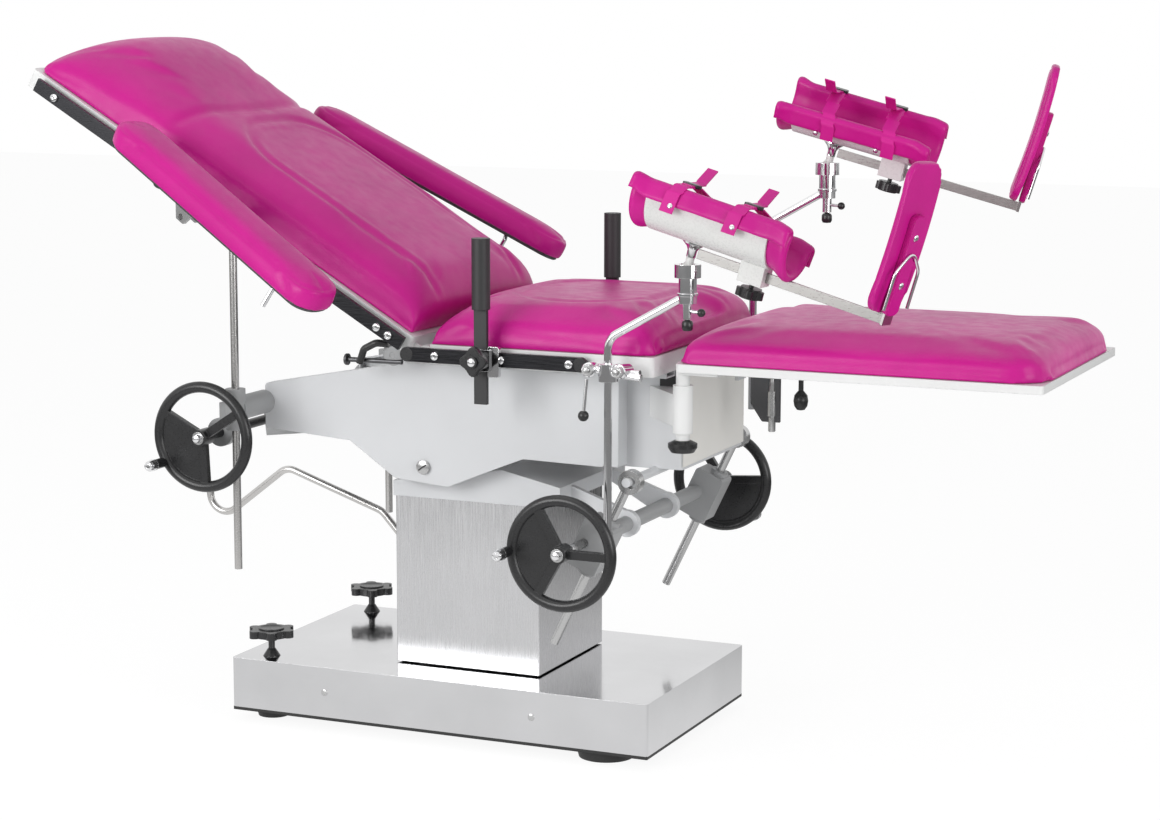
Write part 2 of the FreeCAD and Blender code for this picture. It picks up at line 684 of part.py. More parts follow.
def make_column():
    inner = new_body("inner_column")
    tall = f"inner_top - {BASE_LOW}"
    hollow = centred("inner_wide - 2 * inner_wall", "inner_wide - 2 * inner_wall")
    pad(inner, "XY_Plane", [centred("inner_wide", "inner_wide"), hollow], tall)
    finish(place(inner, 0, 0, BASE_LOW), "inner_column")

    bore = "ram_radius + run_gap"
    cylinder = turned("lift_cylinder", [
        (0, 0), ("cylinder_radius", 0), ("cylinder_radius", f"cylinder_top - {BASE_LOW}"),
        (bore, f"cylinder_top - {BASE_LOW}"), (bore, "cylinder_floor"), (0, "cylinder_floor")])
    finish(place(cylinder, 0, 0, BASE_LOW), "lift_cylinder")

    ram = rod("ram_radius", 0, "sleeve_top - ram_foot")
    finish(place(ram, 0, 0, "ram_foot"), "lift_ram")

    make_sleeve()
    make_saddle()


def make_sleeve():
    """The stainless sleeve, with the two lugs of the pump lever on its head side."""
    sleeve = new_body("column_sleeve")
    inside = "sleeve_wide - 2 * sheet_thick"
    tall = "sleeve_top - base_high - sleeve_gap"
    pad(sleeve, "XY_Plane", [centred("sleeve_wide", "sleeve_wide"), centred(inside, inside)], tall)
    rounded(sleeve, lambda way, at: upright(way, at) and abs(at.x) > size(inside) / 2, "sheet_thick")
    lug_z = "pump_z - base_high - sleeve_gap"
    wide = "(pump_eye_wide / 2 + slide_gap)"
    lug = [("-sleeve_wide / 2", f"{lug_z} - pump_eye_radius * 1.3"),
           ("-sleeve_wide / 2", f"{lug_z} + pump_eye_radius * 1.3"),
           ("pump_x", f"{lug_z} + pump_eye_radius * 0.7"),
           ("pump_x - pump_eye_radius * 0.7", lug_z),
           ("pump_x", f"{lug_z} - pump_eye_radius * 0.7")]
    hole = ("pump_x", lug_z, "pump_pin_radius + run_gap")
    for outer_face in (f"pump_y - {wide}", f"pump_y + {wide} + pump_lug_thick"):
        pad(sleeve, "XZ_Plane", [lug, hole], "pump_lug_thick", f"-({outer_face})")
    finish(place(sleeve, 0, 0, "base_high + sleeve_gap"), "column_sleeve")


def make_saddle():
    """The peaked casting on the sleeve, with the lugs of the tilt shaft."""
    saddle = new_body("saddle")
    outline = [("saddle_head", "sleeve_top"), ("sleeve_wide / 2", "sleeve_top"),
               ("saddle_end", "saddle_end_low"), ("saddle_end", "saddle_end_high"),
               ("saddle_peak_x", "saddle_peak_high"), ("saddle_head", "saddle_head_high")]
    pad(saddle, "XZ_Plane", [outline], "2 * saddle_half_wide", both=True)
    for side in (NEAR, FAR):
        lug = ("pivot_x", "pivot_z", "pivot_lug_radius")
        level = "saddle_half_wide - pivot_lug_thick" if side == NEAR else "-saddle_half_wide"
        pad(saddle, "XZ_Plane", [lug], "pivot_lug_thick", level)
    inside = f"sleeve_wide / 2 - saddle_wall * 2"
    hollow = rectangle(f"-({inside})", inside, f"-({inside})", inside)
    pocket(saddle, "XY_Plane", [hollow], "saddle_head_high - sleeve_top - saddle_wall - 8",
           "sleeve_top + 8", back=True)
    pocket(saddle, "XZ_Plane", [("pivot_x", "pivot_z", "pivot_radius + run_gap")],
           "3 * saddle_half_wide", both=True)
    finish(place(joined("saddle_casting", [saddle] + jack_arms())), "saddle")


def make_pump_lever():
    """The bent chrome lever that pumps the column up."""
    stops = [("pump_x", "pump_y", "pump_z"), ("pump_knee_x", "pump_y", "pump_knee_z"),
             ("pump_crest_x", "pump_y", "pump_crest_z"), ("pump_toe_x", "pump_y", "pump_toe_z"),
             ("pump_tip_x", "pump_y", "pump_tip_z")]
    lever = bent_rod(stops, "pump_rod_radius", "pump_bend")
    eye = rod("pump_eye_radius", "-pump_eye_wide / 2", "pump_eye_wide",
              "pump_x", "pump_y", "pump_z", "y")
    reach = "pump_eye_wide / 2 + pump_lug_thick + slide_gap * 2"
    pin = rod("pump_pin_radius", f"-({reach})", f"2 * ({reach})",
              "pump_x", "pump_y", "pump_z", "y")
    finish(place(joined("pump_lever", [lever, eye, pin])), "pump_lever")


# Tilt jack


def jack_frame(thing):
    """Stand a piece on the cross shaft with its Z axis along the jack screws."""
    return place(thing, "jack_x", 0, "jack_z", ALONG_Y, "90 - jack_lean")


def jack_arms():
    """The two arms of the saddle that carry the cross tube."""
    arms = []
    for side in (NEAR, FAR):
        arm = new_body(f"jack_arm_{side + 1}")
        web = [("saddle_end - 4", "saddle_end_low + 1"), ("saddle_end - 4", "saddle_end_high - 2"),
               ("jack_x + jack_arm_boss * 0.5", "jack_z + jack_arm_boss * 0.8"),
               ("jack_x - jack_arm_boss * 0.6", "jack_z - jack_arm_boss * 0.7")]
        level = "-jack_arm_y" if side == FAR else "jack_arm_y - jack_arm_thick"
        pad(arm, "XZ_Plane", [web], "jack_arm_thick", level)
        pad(arm, "XZ_Plane", [("jack_x", "jack_z", "jack_arm_boss")], "jack_arm_thick", level)
        bore = ("jack_x", "jack_z", "jack_tube_radius + run_gap")
        pocket(arm, "XZ_Plane", [bore], "3 * jack_arm_y", both=True)
        arms.append(arm)
    return arms


def make_jack():
    make_gearboxes()
    for name, side in (("near_tilt_screw", NEAR), ("far_tilt_screw", FAR)):
        make_tilt_screw(name, side)


def make_gearboxes():
    """Two gear housings on the ends of one cross tube; they rock in the arms together."""
    pieces = []
    inner = "jack_y - jack_box_thick / 2"
    outer = "jack_y + jack_box_thick / 2"
    for side in (NEAR, FAR):
        housing = new_body(f"jack_box_{side + 1}")
        outline = rectangle("jack_offset - jack_box_wide * 0.64", "jack_offset + jack_box_wide * 0.36",
                            "-jack_box_long / 2", "jack_box_long / 2")
        level = f"-({outer})" if side == FAR else inner
        pad(housing, "XZ_Plane", [outline], "jack_box_thick", level)
        rounded(housing, across, "jack_box_wide / 8")
        boss = ("jack_offset", f"{side} * jack_y", "jack_screw_radius * 2")
        pad(housing, "XY_Plane", [boss], "jack_box_long + 16", both=True)
        bore = ("jack_offset", f"{side} * jack_y", "jack_screw_radius + run_gap")
        pocket(housing, "XY_Plane", [bore], "2 * jack_box_long", both=True)
        pieces.append(housing)
    tube = rod("jack_tube_radius", f"-({inner})", f"2 * ({inner})", along="y")
    whole = joined("jack_whole", pieces + [tube])
    reach = f"{outer} + 1"
    bore = rod("jack_shaft_radius + run_gap", f"-({reach})", f"2 * ({reach})", along="y")
    finish(jack_frame(without("tilt_gearboxes", whole, bore)), "tilt_gearboxes")


def make_tilt_screw(name, side):
    screw = rod("jack_screw_radius", "-jack_screw_low", "jack_screw_low + jack_screw_high",
                "jack_offset", f"{side} * jack_y")
    middle = "jack_offset + (jack_slot_front - jack_slot_back) / 2"
    y = f"{side} * jack_y"
    eye = rod("jack_eye_radius", "-jack_eye_wide / 2", "jack_eye_wide",
              middle, y, "jack_screw_high", "y")
    bore = "jack_pin_radius + jack_play"
    ends = [rod(bore, "-jack_eye_wide", "2 * jack_eye_wide", f"jack_offset + {spot}", y,
                "jack_screw_high", "y") for spot in ("-jack_slot_back", "jack_slot_front")]
    between = box("jack_offset - jack_slot_back", "jack_offset + jack_slot_front",
                  f"{y} - jack_eye_wide", f"{y} + jack_eye_wide",
                  f"jack_screw_high - ({bore})", f"jack_screw_high + {bore}")
    hole = joined(name + "_slot", ends + [between])
    solid = joined(name + "_solid", [screw, eye])
    finish(jack_frame(without(name, solid, hole)), name)


# Handwheels


def handwheel(name, wheel_y, turn):
    """A wheel about the Y axis: three spokes, and a web on the side of the crank."""
    mean = "wheel_radius - wheel_rim_radius"
    rim = doc.addObject("Part::Torus", name + "_rim")
    tie(rim, "Radius1", mean)
    tie(rim, "Radius2", "wheel_rim_radius")
    web = rod(mean, "-wheel_web_thick / 2", "wheel_web_thick")
    web.Angle = 120
    web = local(web, 0, 0, "-wheel_web_thick / 2", ALONG_Z, -60)
    hub = rod("wheel_hub_radius", "-wheel_hub_long / 2", "wheel_hub_long")
    pin = rod("crank_pin_radius", 0, "crank_long + wheel_rim_radius", mean)
    spokes = []
    for angle in (60, 180, 300):
        spoke = box(0, mean, "-wheel_spoke_wide / 2", "wheel_spoke_wide / 2",
                    "-wheel_spoke_thick / 2", "wheel_spoke_thick / 2")
        holder = group(name + "_spoke", [spoke])
        spokes.append(local(holder, 0, 0, 0, ALONG_Z, angle))
    whole = joined(name + "_whole", [rim, web, hub, pin] + spokes)
    at_turn = local(group(name + "_turned", [whole]), 0, 0, 0, ALONG_Z, turn)
    outward = 90 if wheel_y.startswith("-") else -90
    return local(group(name + "_upright", [at_turn]), 0, wheel_y, 0, ALONG_X, outward)


def make_crank(name, wheel_y, x, z, turn):
    """The free handle on the wheel's crank pin."""
    foot = "wheel_rim_radius + slide_gap"
    bore = "crank_pin_radius + run_gap"
    profile = [(bore, foot), ("crank_radius * 0.7", foot), ("crank_radius", f"{foot} + 8"),
               ("crank_radius", "crank_long + wheel_rim_radius - 6"),
               ("crank_radius * 0.7", "crank_long + wheel_rim_radius"),
               (bore, "crank_long + wheel_rim_radius")]
    handle = turned(name + "_handle", profile)
    mean = "wheel_radius - wheel_rim_radius"
    handle = local(handle, f"({mean}) * cos({turn})", f"({mean}) * sin({turn})", 0)
    outward = 90 if wheel_y.startswith("-") else -90
    finish(place(group(name, [handle]), x, wheel_y, z, ALONG_X, outward), name)


def make_tilt_wheels():
    """Two wheels on the ends of one through shaft, with a crank handle on each."""
    shaft = rod("jack_shaft_radius", "-tilt_wheel_y - wheel_hub_long / 2",
                "2 * tilt_wheel_y + wheel_hub_long", along="y")
    wheels = [handwheel("near_tilt_wheel", "-tilt_wheel_y", "near_wheel_turn"),
              handwheel("far_tilt_wheel", "tilt_wheel_y", "far_wheel_turn")]
    finish(place(joined("tilt_wheelset", wheels + [shaft]), "jack_x", 0, "jack_z"), "tilt_wheels")
    make_crank("near_crank_handle", "-tilt_wheel_y", "jack_x", "jack_z", "near_wheel_turn")
    make_crank("far_crank_handle", "tilt_wheel_y", "jack_x", "jack_z", "far_wheel_turn")


# Table frame


def plate_outline():
    return [("plate_tip_x", "plate_tip_low"), (-210, 533), (-119, 471),
            ("plate_chin_x", "plate_chin_z"), (94, 507), (134, 523), ("plate_end_x", 520),
            ("plate_end_x", "plate_top"), (-97, "plate_top"), ("plate_tip_x", "plate_tip_top")]


def make_side_plate():
    """A pressed side plate: its rim turns inwards all round."""
    plate = new_body("near_side_plate")
    pad(plate, "XZ_Plane", [plate_outline()], "plate_deep", "plate_y - plate_deep")
    rounded(plate, across, "plate_corner")
    doc.recompute()
    inner_y = -size("plate_y - plate_deep")
    faces = [f"Face{number}" for number, face in enumerate(plate.Shape.Faces, start=1)
             if abs(face.CenterOfMass.y - inner_y) < 0.01]
    solid_plate = plate.Tip
    shell = plate.newObject("PartDesign::Thickness", "near_side_plate_shell")
    shell.Base = (solid_plate, faces)
    shell.Mode = 0
    shell.Join = 0
    shell.Reversed = True
    tie(shell, "Value", "plate_wall")
    bolt = ("pivot_x", "pivot_z", "pivot_bolt_radius + run_gap")
    pocket(plate, "XZ_Plane", [bolt], "plate_wall * 3", f"plate_y + plate_wall", back=False)
    finish(place(plate), "near_side_plate")
    finish(mirrored(plate, "far_side_plate"), "far_side_plate")


def make_frame():
    make_side_plate()
    beams = []
    for side in (NEAR, FAR):
        beam = new_body(f"frame_beam_{side + 1}")
        outer = f"{side} * (plate_y - 1)"
        inner = f"{side} * (plate_y - 1 - beam_wide)"
        low, high = (outer, inner) if side == NEAR else (inner, outer)
        top = "seat_top - pan_wall"
        section = rectangle(low, high, "plate_top", top)
        wall = "beam_wall"
        hollow = rectangle(f"{low} + {wall}", f"{high} - {wall}", f"plate_top + {wall}", f"{top} - {wall}")
        pad(beam, "YZ_Plane", [section, hollow], "seat_end - seat_head - 2 * pan_wall - 2",
            "seat_head + pan_wall + 1")
        beams.append(beam)
    finish(place(group("frame_beams", beams)), "frame_beams")

    shaft = rod("pivot_radius", f"-{PLATE_IN}", f"2 * {PLATE_IN}", "pivot_x", 0, "pivot_z", "y")
    pieces = [shaft]
    for side in (NEAR, FAR):
        neck_start = f"-plate_y" if side == NEAR else PLATE_IN
        head_start = "-plate_y - pivot_head_thick" if side == NEAR else "plate_y"
        pieces.append(rod("pivot_bolt_radius", neck_start, "plate_wall",
                          "pivot_x", 0, "pivot_z", "y"))
        pieces.append(rod("pivot_head_radius", head_start, "pivot_head_thick",
                          "pivot_x", 0, "pivot_z", "y"))
    finish(place(joined("tilt_shaft", pieces)), "tilt_shaft")
    make_end_box()


def make_end_box():
    """The box that closes the frame at the foot end, its corner posts and the jack's cross bar."""
    body = new_body("end_box_shell")
    pad(body, "XY_Plane",
        [rectangle("plate_end_x", "end_box_x", "-end_box_half_wide", "end_box_half_wide")],
        "plate_top - end_box_low", "end_box_low")
    rounded(body, lambda way, at: upright(way, at) and at.x > size("end_box_x") - 1, "plate_corner")
    pocket(body, "XY_Plane",
           [rectangle("plate_end_x - 1", "end_box_x - plate_wall",
                      "-end_box_half_wide + plate_wall", "end_box_half_wide - plate_wall")],
           "plate_top - end_box_low", "end_box_low + plate_wall", back=True)
    posts = []
    for side in (NEAR, FAR):
        inner = f"{side} * end_box_half_wide"
        outer = f"{side} * {PLATE_IN}"
        low, high = (outer, inner) if side == NEAR else (inner, outer)
        posts.append(box("plate_end_x", "plate_end_x + end_post_wide", low, high,
                         "end_box_low + 4", "plate_top"))
    foot = "jack_lean"
    pin_x = f"(jack_x + jack_offset * sin({foot}) + jack_screw_high * cos({foot}))"
    pin_z = f"(jack_z - jack_offset * cos({foot}) + jack_screw_high * sin({foot}))"
    reach = "jack_y + jack_eye_wide"
    bar = rod("jack_pin_radius", f"-({reach})", f"2 * ({reach})", pin_x, 0, pin_z, "y")
    top = "leg_top - leg_pan_deep - slide_gap"
    shelf = box("end_box_x", "leg_head + shelf_reach", "end_box_half_wide - shelf_inset",
                "end_box_half_wide + shelf_outset", f"{top} - shelf_thick", top)
    leaf = box("end_box_x", "end_box_x + shelf_thick", "end_box_half_wide - shelf_inset",
               "end_box_half_wide - plate_corner", "plate_top - shelf_drop", top)
    finish(place(joined("end_box", [body, bar, shelf, leaf] + posts)), "end_box")


def pan(name, x_low, x_high, half_wide, deep, corner):
    """A shallow tray of sheet, open below, its top at the sketch plane."""
    body = new_body(name)
    outline = rectangle(x_low, x_high, f"-{half_wide}", half_wide)
    pad(body, "XY_Plane", [outline], deep, back=True)
    rounded(body, upright, corner)
    inside = rectangle(f"{x_low} + pan_wall", f"{x_high} - pan_wall",
                       f"-{half_wide} + pan_wall", f"{half_wide} - pan_wall")
    pocket(body, "XY_Plane", [inside], f"{deep} - pan_wall", f"-({deep})", back=True)
    return body


def make_seat():
    tray = pan("seat_pan", "seat_head", "seat_end", "seat_half_wide", "pan_deep", "plate_corner")
    lifted = local(tray, 0, 0, "seat_top")
    finish(place(joined("seat_pan_welded", [lifted] + hinge_pins())), "seat_pan")

    cushion = new_body("seat_cushion")
    lean = "seat_foam * tan(crease_angle)"
    outline = [("seat_head + foam_inset", 0), ("seat_end - foam_inset", 0),
               ("seat_end - foam_inset", "seat_foam"), (f"seat_head + foam_inset + {lean}", "seat_foam")]
    pad(cushion, "XZ_Plane", [outline], "2 * (seat_half_wide - foam_inset)", both=True)
    rounded(cushion, lambda way, at: abs(way.x) > 0.99 and at.z > 10, "foam_round")
    finish(place(cushion, 0, 0, "seat_top"), "seat_cushion")

    rails = []
    for side in (NEAR, FAR):
        rails.append(side_rail(side, "rail_head", "rail_end", "seat_top - rail_drop",
                               ("seat_head + 22", "(seat_head + rail_end) / 2", "rail_end - 20")))
    finish(place(group("seat_rails", rails)), "seat_rails")


def side_rail(side, start, end, level, bolts):
    """An accessory rail on spacers, with its bolt heads."""
    inner = f"{side} * {RAIL_FACE}"
    outer = f"{side} * {RAIL_OUT}"
    low, high = (outer, inner) if side == NEAR else (inner, outer)
    pieces = [box(start, end, low, high, f"{level} - rail_high / 2", f"{level} + rail_high / 2")]
    for spot in bolts:
        stand = f"-{RAIL_FACE}" if side == NEAR else "seat_half_wide"
        head = f"-{RAIL_OUT} - rail_bolt_thick" if side == NEAR else RAIL_OUT
        pieces.append(rod("spacer_radius", stand, "rail_stand", spot, 0, level, "y"))
        pieces.append(rod("rail_bolt_radius", head, "rail_bolt_thick", spot, 0, level, "y"))
    return joined("side_rail", pieces)


def hinge_pins():
    """Ears on the seat pan with the pins of the back hinge."""
    pieces = []
    for side in (NEAR, FAR):
        inner = f"{HINGE_Y} - slide_gap - hinge_ear_thick"
        low = f"-({inner}) - hinge_ear_thick" if side == NEAR else inner
        pieces.append(rod("hinge_ear_radius", low, "hinge_ear_thick", "hinge_x", 0, "hinge_z", "y"))
        pieces.append(box("hinge_x", "seat_head + pan_wall + 30", low, f"{low} + hinge_ear_thick",
                          "hinge_z - hinge_ear_radius", "hinge_z + 4"))
        reach = "hinge_ear_thick * 2 + slide_gap + 4"
        start = f"-({inner}) - ({reach})" if side == NEAR else inner
        pieces.append(rod("hinge_pin_radius", start, reach, "hinge_x", 0, "hinge_z", "y"))
    return pieces


def rail_clamp(side):
    """A casting that hooks over the rail, with an upright slot for the blade of the grip."""
    level = "seat_top - rail_drop"
    deep = f"{RAIL_OUT} + clamp_gap + blade_thick + clamp_wall"
    across_low, across_high = span(side, f"{RAIL_FACE} - clamp_wall", deep)
    shell = box("grip_x - clamp_wide / 2", "grip_x + clamp_wide / 2", across_low, across_high,
                f"{level} - rail_high / 2 - clamp_wall", f"{level} + rail_high / 2 + clamp_wall")
    low, high = span(side, RAIL_FACE, RAIL_OUT)
    rail_slot = box("grip_x - clamp_wide", "grip_x + clamp_wide", low, high,
                    f"{level} - rail_high / 2", f"{level} + rail_high / 2")
    low, high = span(side, f"{RAIL_OUT} + clamp_gap - slide_gap",
                     f"{RAIL_OUT} + clamp_gap + blade_thick + slide_gap")
    blade_slot = box("grip_x - blade_wide / 2 - slide_gap", "grip_x + blade_wide / 2 + slide_gap",
                     low, high, f"{level} - rail_high", f"{level} + rail_high")
    low, high = span(side, f"{RAIL_OUT} + clamp_gap + blade_thick", f"{deep} + 2")
    screw_bore = rod("grip_screw_radius + run_gap", low, f"{high} - ({low})",
                     "grip_x", 0, level, "y")
    body = without("grip_clamp_rail", shell, rail_slot)
    body = without("grip_clamp_slotted", body, blade_slot)
    return without("grip_clamp", body, screw_bore)


def support_clamp(side, lead):
    """The round clamp of a leg support, on a stub from the seat pan."""
    x = f"support_x + {lead}"
    y = f"{side} * {SUPPORT_Y}"
    hub = rod("support_clamp_radius", "support_clamp_z - support_clamp_high / 2",
              "support_clamp_high", x, y)
    low, high = span(side, "seat_half_wide", SUPPORT_Y)
    stub = rod("support_clamp_radius * 0.7", low, f"{high} - ({low})", x, 0, "support_clamp_z", "y")
    lever = rod("stem_radius", 0, "support_clamp_radius * 3.4", x, y, "support_clamp_z", "x")
    solid = joined("support_clamp_solid", [hub, stub, lever])
    bore = rod("support_radius + run_gap", "support_clamp_z - support_clamp_high",
               "2 * support_clamp_high", x, y)
    return without("support_clamp", solid, bore)


def make_rail_clamps():
    pieces = [rail_clamp(NEAR), rail_clamp(FAR),
              support_clamp(NEAR, "0"), support_clamp(FAR, "support_lead")]
    finish(place(group("rail_clamps", pieces)), "rail_clamps")


def make_grips():
    for name, side in (("near", NEAR), ("far", FAR)):
        middle = f"{side} * ({RAIL_OUT} + clamp_gap + blade_thick / 2)"
        blade = box("-blade_wide / 2", "blade_wide / 2", "-blade_thick / 2", "blade_thick / 2",
                    "blade_low", "grip_low + 10")
        handle = rod("grip_radius", "grip_low", "grip_top - grip_low")
        grip = joined(name + "_grip_solid", [blade, handle])
        finish(place(grip, "grip_x", middle, 0), name + "_hand_grip")
        make_grip_knob(name + "_grip_knob", side)


def make_grip_knob(name, side):
    """The black knob whose screw presses on the blade."""
    face = f"{RAIL_OUT} + clamp_gap + blade_thick + clamp_wall"
    screw_start = f"{RAIL_OUT} + clamp_gap + blade_thick + slide_gap"
    screw = rod("grip_screw_radius", 0, f"{face} + slide_gap + 4 - ({screw_start})")
    start = f"{face} + slide_gap - ({screw_start})"
    knob = rod("grip_knob_radius", start, "grip_knob_thick")
    boss = rod("grip_knob_radius * 0.6", start, "grip_knob_thick + 5")
    solid = joined(name + "_solid", [screw, knob, boss])
    outward = 90 if side == NEAR else -90
    finish(place(group(name + "_part", [solid]), "grip_x", f"{side} * ({screw_start})",
                 "seat_top - rail_drop", ALONG_X, outward), name)


# Back section


def back_frame(thing, y=0):
    """Stand a piece on the back hinge, its -X axis up along the back."""
    return place(thing, "hinge_x", y, "hinge_z", ALONG_Y, "back_angle")


def make_back():
    head = "back_foot + back_long"
    tray = pan("back_pan", f"-({head})", "-back_foot", "seat_half_wide", "pan_deep", "plate_corner")
    lifted = local(tray, 0, 0, BACK_PAN_TOP)
    pieces = [lifted]
    for side in (NEAR, FAR):
        low = f"{side} * {HINGE_Y}"
        start = low if side == FAR else f"{low} - hinge_ear_thick"
        pieces.append(rod("hinge_ear_radius", start, "hinge_ear_thick", along="y"))
        strap_low, strap_high = (low, f"{low} + hinge_ear_thick") if side == FAR \
            else (f"{low} - hinge_ear_thick", low)
        pieces.append(box("-back_foot - 40", 0, strap_low, strap_high,
                          f"-hinge_ear_radius", "hinge_ear_radius * 0.4"))
    solid = joined("back_pan_solid", pieces)
    bore = rod("hinge_pin_radius + run_gap", "-seat_half_wide", "2 * seat_half_wide", along="y")
    finish(back_frame(without("back_pan_bored", solid, bore)), "back_pan")

    make_back_cushion()
    rails = [side_rail(side, f"-({head} - 28)", "-back_foot - 8", f"{BACK_PAN_TOP} - rail_drop",
                       (f"-({head} - 75)", f"-({head} / 2)", "-back_foot - 36", "-back_foot - 62"))
             for side in (NEAR, FAR)]
    finish(back_frame(group("back_rails", rails)), "back_rails")
    make_fork()


def make_back_cushion():
    """Back cushion and head pillow in one profile along the back."""
    head = "back_foot + back_long - foam_inset"
    foot = "back_foot + foam_inset"
    lean = "back_foam * tan(crease_angle)"
    body = new_body("back_cushion")
    outline = [(f"-({foot})", BACK_PAN_TOP), (f"-({head})", BACK_PAN_TOP),
               (f"-({head})", f"{BACK_PAN_TOP} + pillow_foam * 0.5"),
               (f"-({head} - 60)", f"{BACK_PAN_TOP} + pillow_foam * 0.95"),
               ("-pillow_crest", f"{BACK_PAN_TOP} + pillow_foam"),
               ("-pillow_start", f"{BACK_PAN_TOP} + back_foam"),
               (f"-({foot} + {lean})", f"{BACK_PAN_TOP} + back_foam")]
    pad(body, "XZ_Plane", [outline], "2 * (seat_half_wide - foam_inset)", both=True)
    top = size(BACK_PAN_TOP) + size("foam_round")
    rounded(body, lambda way, at: abs(way.y) < 0.01 and at.z > top, "foam_round")
    finish(back_frame(body), "back_cushion")


def make_fork():
    """The fork under the back that the travelling nut pulls on, with its slots."""
    pieces = []
    foot = f"{FORK_REACH} + 50"
    for side in (NEAR, FAR):
        plate = new_body(f"fork_plate_{side + 1}")
        lever = [("-lift_fork_wide / 2", f"-({foot})"), ("lift_fork_wide / 2", f"-({foot})"),
                 ("lift_fork_wide / 2", "-60"), ("2", "-26"), ("-6", "-2"), ("-40", "-2"),
                 ("-lift_fork_wide / 2", "-60")]
        slot_half = "lift_pin_radius + lift_play"
        slot = rectangle(f"-({slot_half})", slot_half,
                         f"-({FORK_REACH}) - 40", f"-({FORK_REACH}) + 18")
        low, high = span(side, "lift_fork_gap", "lift_fork_gap + lift_fork_thick")
        pad(plate, "XZ_Plane", [lever, slot], "lift_fork_thick", f"-({high})")
        pieces.append(local(plate, 0, 0, 0, ALONG_Y, "-lift_fork_mid - lift_screw_rise"))
        pieces.append(box("-back_foot - 90", "-10", low, high,
                          "-hinge_ear_radius - 14", f"{BACK_PAN_TOP} - pan_wall"))
    finish(back_frame(joined("back_fork_solid", pieces)), "back_fork")


def screw_frame(thing, along=0):
    """Stand a piece on the crossing of the hand shaft, its X axis along the lead screw."""
    return place(thing, f"lift_box_x + {along} * cos(lift_screw_rise)", 0,
                 f"lift_box_z + {along} * sin(lift_screw_rise)", ALONG_Y, "-lift_screw_rise")


def make_back_drive():
    screw = rod("lift_screw_radius", "lift_box_long / 2 - 20", "lift_screw_long", along="x")
    finish(screw_frame(group("back_lead_screw", [screw])), "back_lead_screw")

    nut = rod("lift_nut_radius", "-lift_nut_long / 2", "lift_nut_long", along="x")
    pins = rod("lift_pin_radius", "-lift_pin_reach", "2 * lift_pin_reach", along="y")
    bore = rod("lift_screw_radius + run_gap", "-lift_nut_long", "2 * lift_nut_long", along="x")
    body = without("back_nut_bored", joined("back_nut_solid", [nut, pins]), bore)
    finish(screw_frame(group("back_nut", [body]), NUT_AT), "back_nut")

    housing = box("-lift_box_long / 2", "lift_box_long / 2", "-lift_box_wide / 2", "lift_box_wide / 2",
                  "-lift_box_high / 2", "lift_box_high / 2")
    cavity = box("-lift_box_long / 2 + 8", "lift_box_long / 2 - 8", "-lift_box_wide / 2 + 8",
                 "lift_box_wide / 2 - 8", "-lift_box_high / 2 + 8", "lift_box_high / 2 - 8")
    shell = without("lift_box_shell", housing, cavity)
    screw_bore = rod("lift_screw_radius + run_gap", 0, "lift_box_long", along="x")
    shaft_bore = rod("lift_shaft_radius + run_gap", "-lift_box_wide", "lift_box_wide", along="y")
    bored = without("lift_box_bored", without("lift_box_one", shell, screw_bore), shaft_bore)
    level = local(group("lift_box_level", [bored]), "lift_box_x", 0, "lift_box_z",
                  ALONG_Y, "-lift_screw_rise")
    bar = box("cross_bar_x", "cross_bar_x + cross_bar_long", f"-{PLATE_IN}", PLATE_IN,
              "cross_bar_low", "cross_bar_low + cross_bar_high")
    way = rod("lift_screw_radius + 2", 0, "lift_screw_long", along="x")
    screw_way = local(group("lift_screw_way", [way]), "lift_box_x", 0, "lift_box_z",
                      ALONG_Y, "-lift_screw_rise")
    cut_bar = without("cross_bar_cut", bar, screw_way)
    casting = joined("head_casting_middle", [level, cut_bar])
    finish(place(group("head_casting_all", [casting] + post_clamps())), "head_casting")

    shaft = rod("lift_shaft_radius", f"-{BACK_WHEEL_Y} - wheel_hub_long / 2",
                f"{BACK_WHEEL_Y} + wheel_hub_long / 2 - 14", along="y")
    wheel = handwheel("back_wheel_half", f"-{BACK_WHEEL_Y}", "back_wheel_turn")
    finish(place(joined("back_wheel_set", [wheel, shaft]), "lift_box_x", 0, "lift_box_z"),
           "back_wheel")
    make_crank("back_crank_handle", f"-{BACK_WHEEL_Y}", "lift_box_x", "lift_box_z", "back_wheel_turn")


def post_clamps():
    """Castings on the side plates that hold the armrest posts; the near one bears the hand shaft."""
    pieces = []
    for side in (NEAR, FAR):
        sleeve = rod("post_clamp_radius", "post_clamp_low", "post_clamp_high",
                     "post_x", f"{side} * {POST_Y}")
        low, high = span(side, "plate_y", POST_Y)
        arm = rod("post_clamp_radius * 1.2", low, f"{high} - ({low})", "post_x", 0,
                  "post_clamp_low + post_clamp_high / 2", "y")
        parts = [sleeve, arm]
        if side == NEAR:
            low, high = span(side, f"{POST_Y} - post_clamp_radius - clamp_arm_thick + 5",
                             f"{POST_Y} - post_clamp_radius + 5")
            parts.append(rod("bearing_radius", low, "clamp_arm_thick",
                             "lift_box_x", 0, "lift_box_z", "y"))
            parts.append(box("lift_box_x", "post_x", low, high,
                             "lift_box_z", "post_clamp_low + post_clamp_high * 0.6"))
        solid = joined("post_clamp_solid", parts)
        bore = rod("post_radius + run_gap", "post_clamp_low - 1", "post_clamp_high + 2",
                   "post_x", f"{side} * {POST_Y}")
        clamp = without("post_clamp", solid, bore)
        if side == NEAR:
            shaft = rod("lift_shaft_radius + run_gap", f"-{POST_Y}", f"{POST_Y} - plate_y",
                        "lift_box_x", 0, "lift_box_z", "y")
            clamp = without("post_clamp_bored", clamp, shaft)
        pieces.append(clamp)
    return pieces


# Leg section


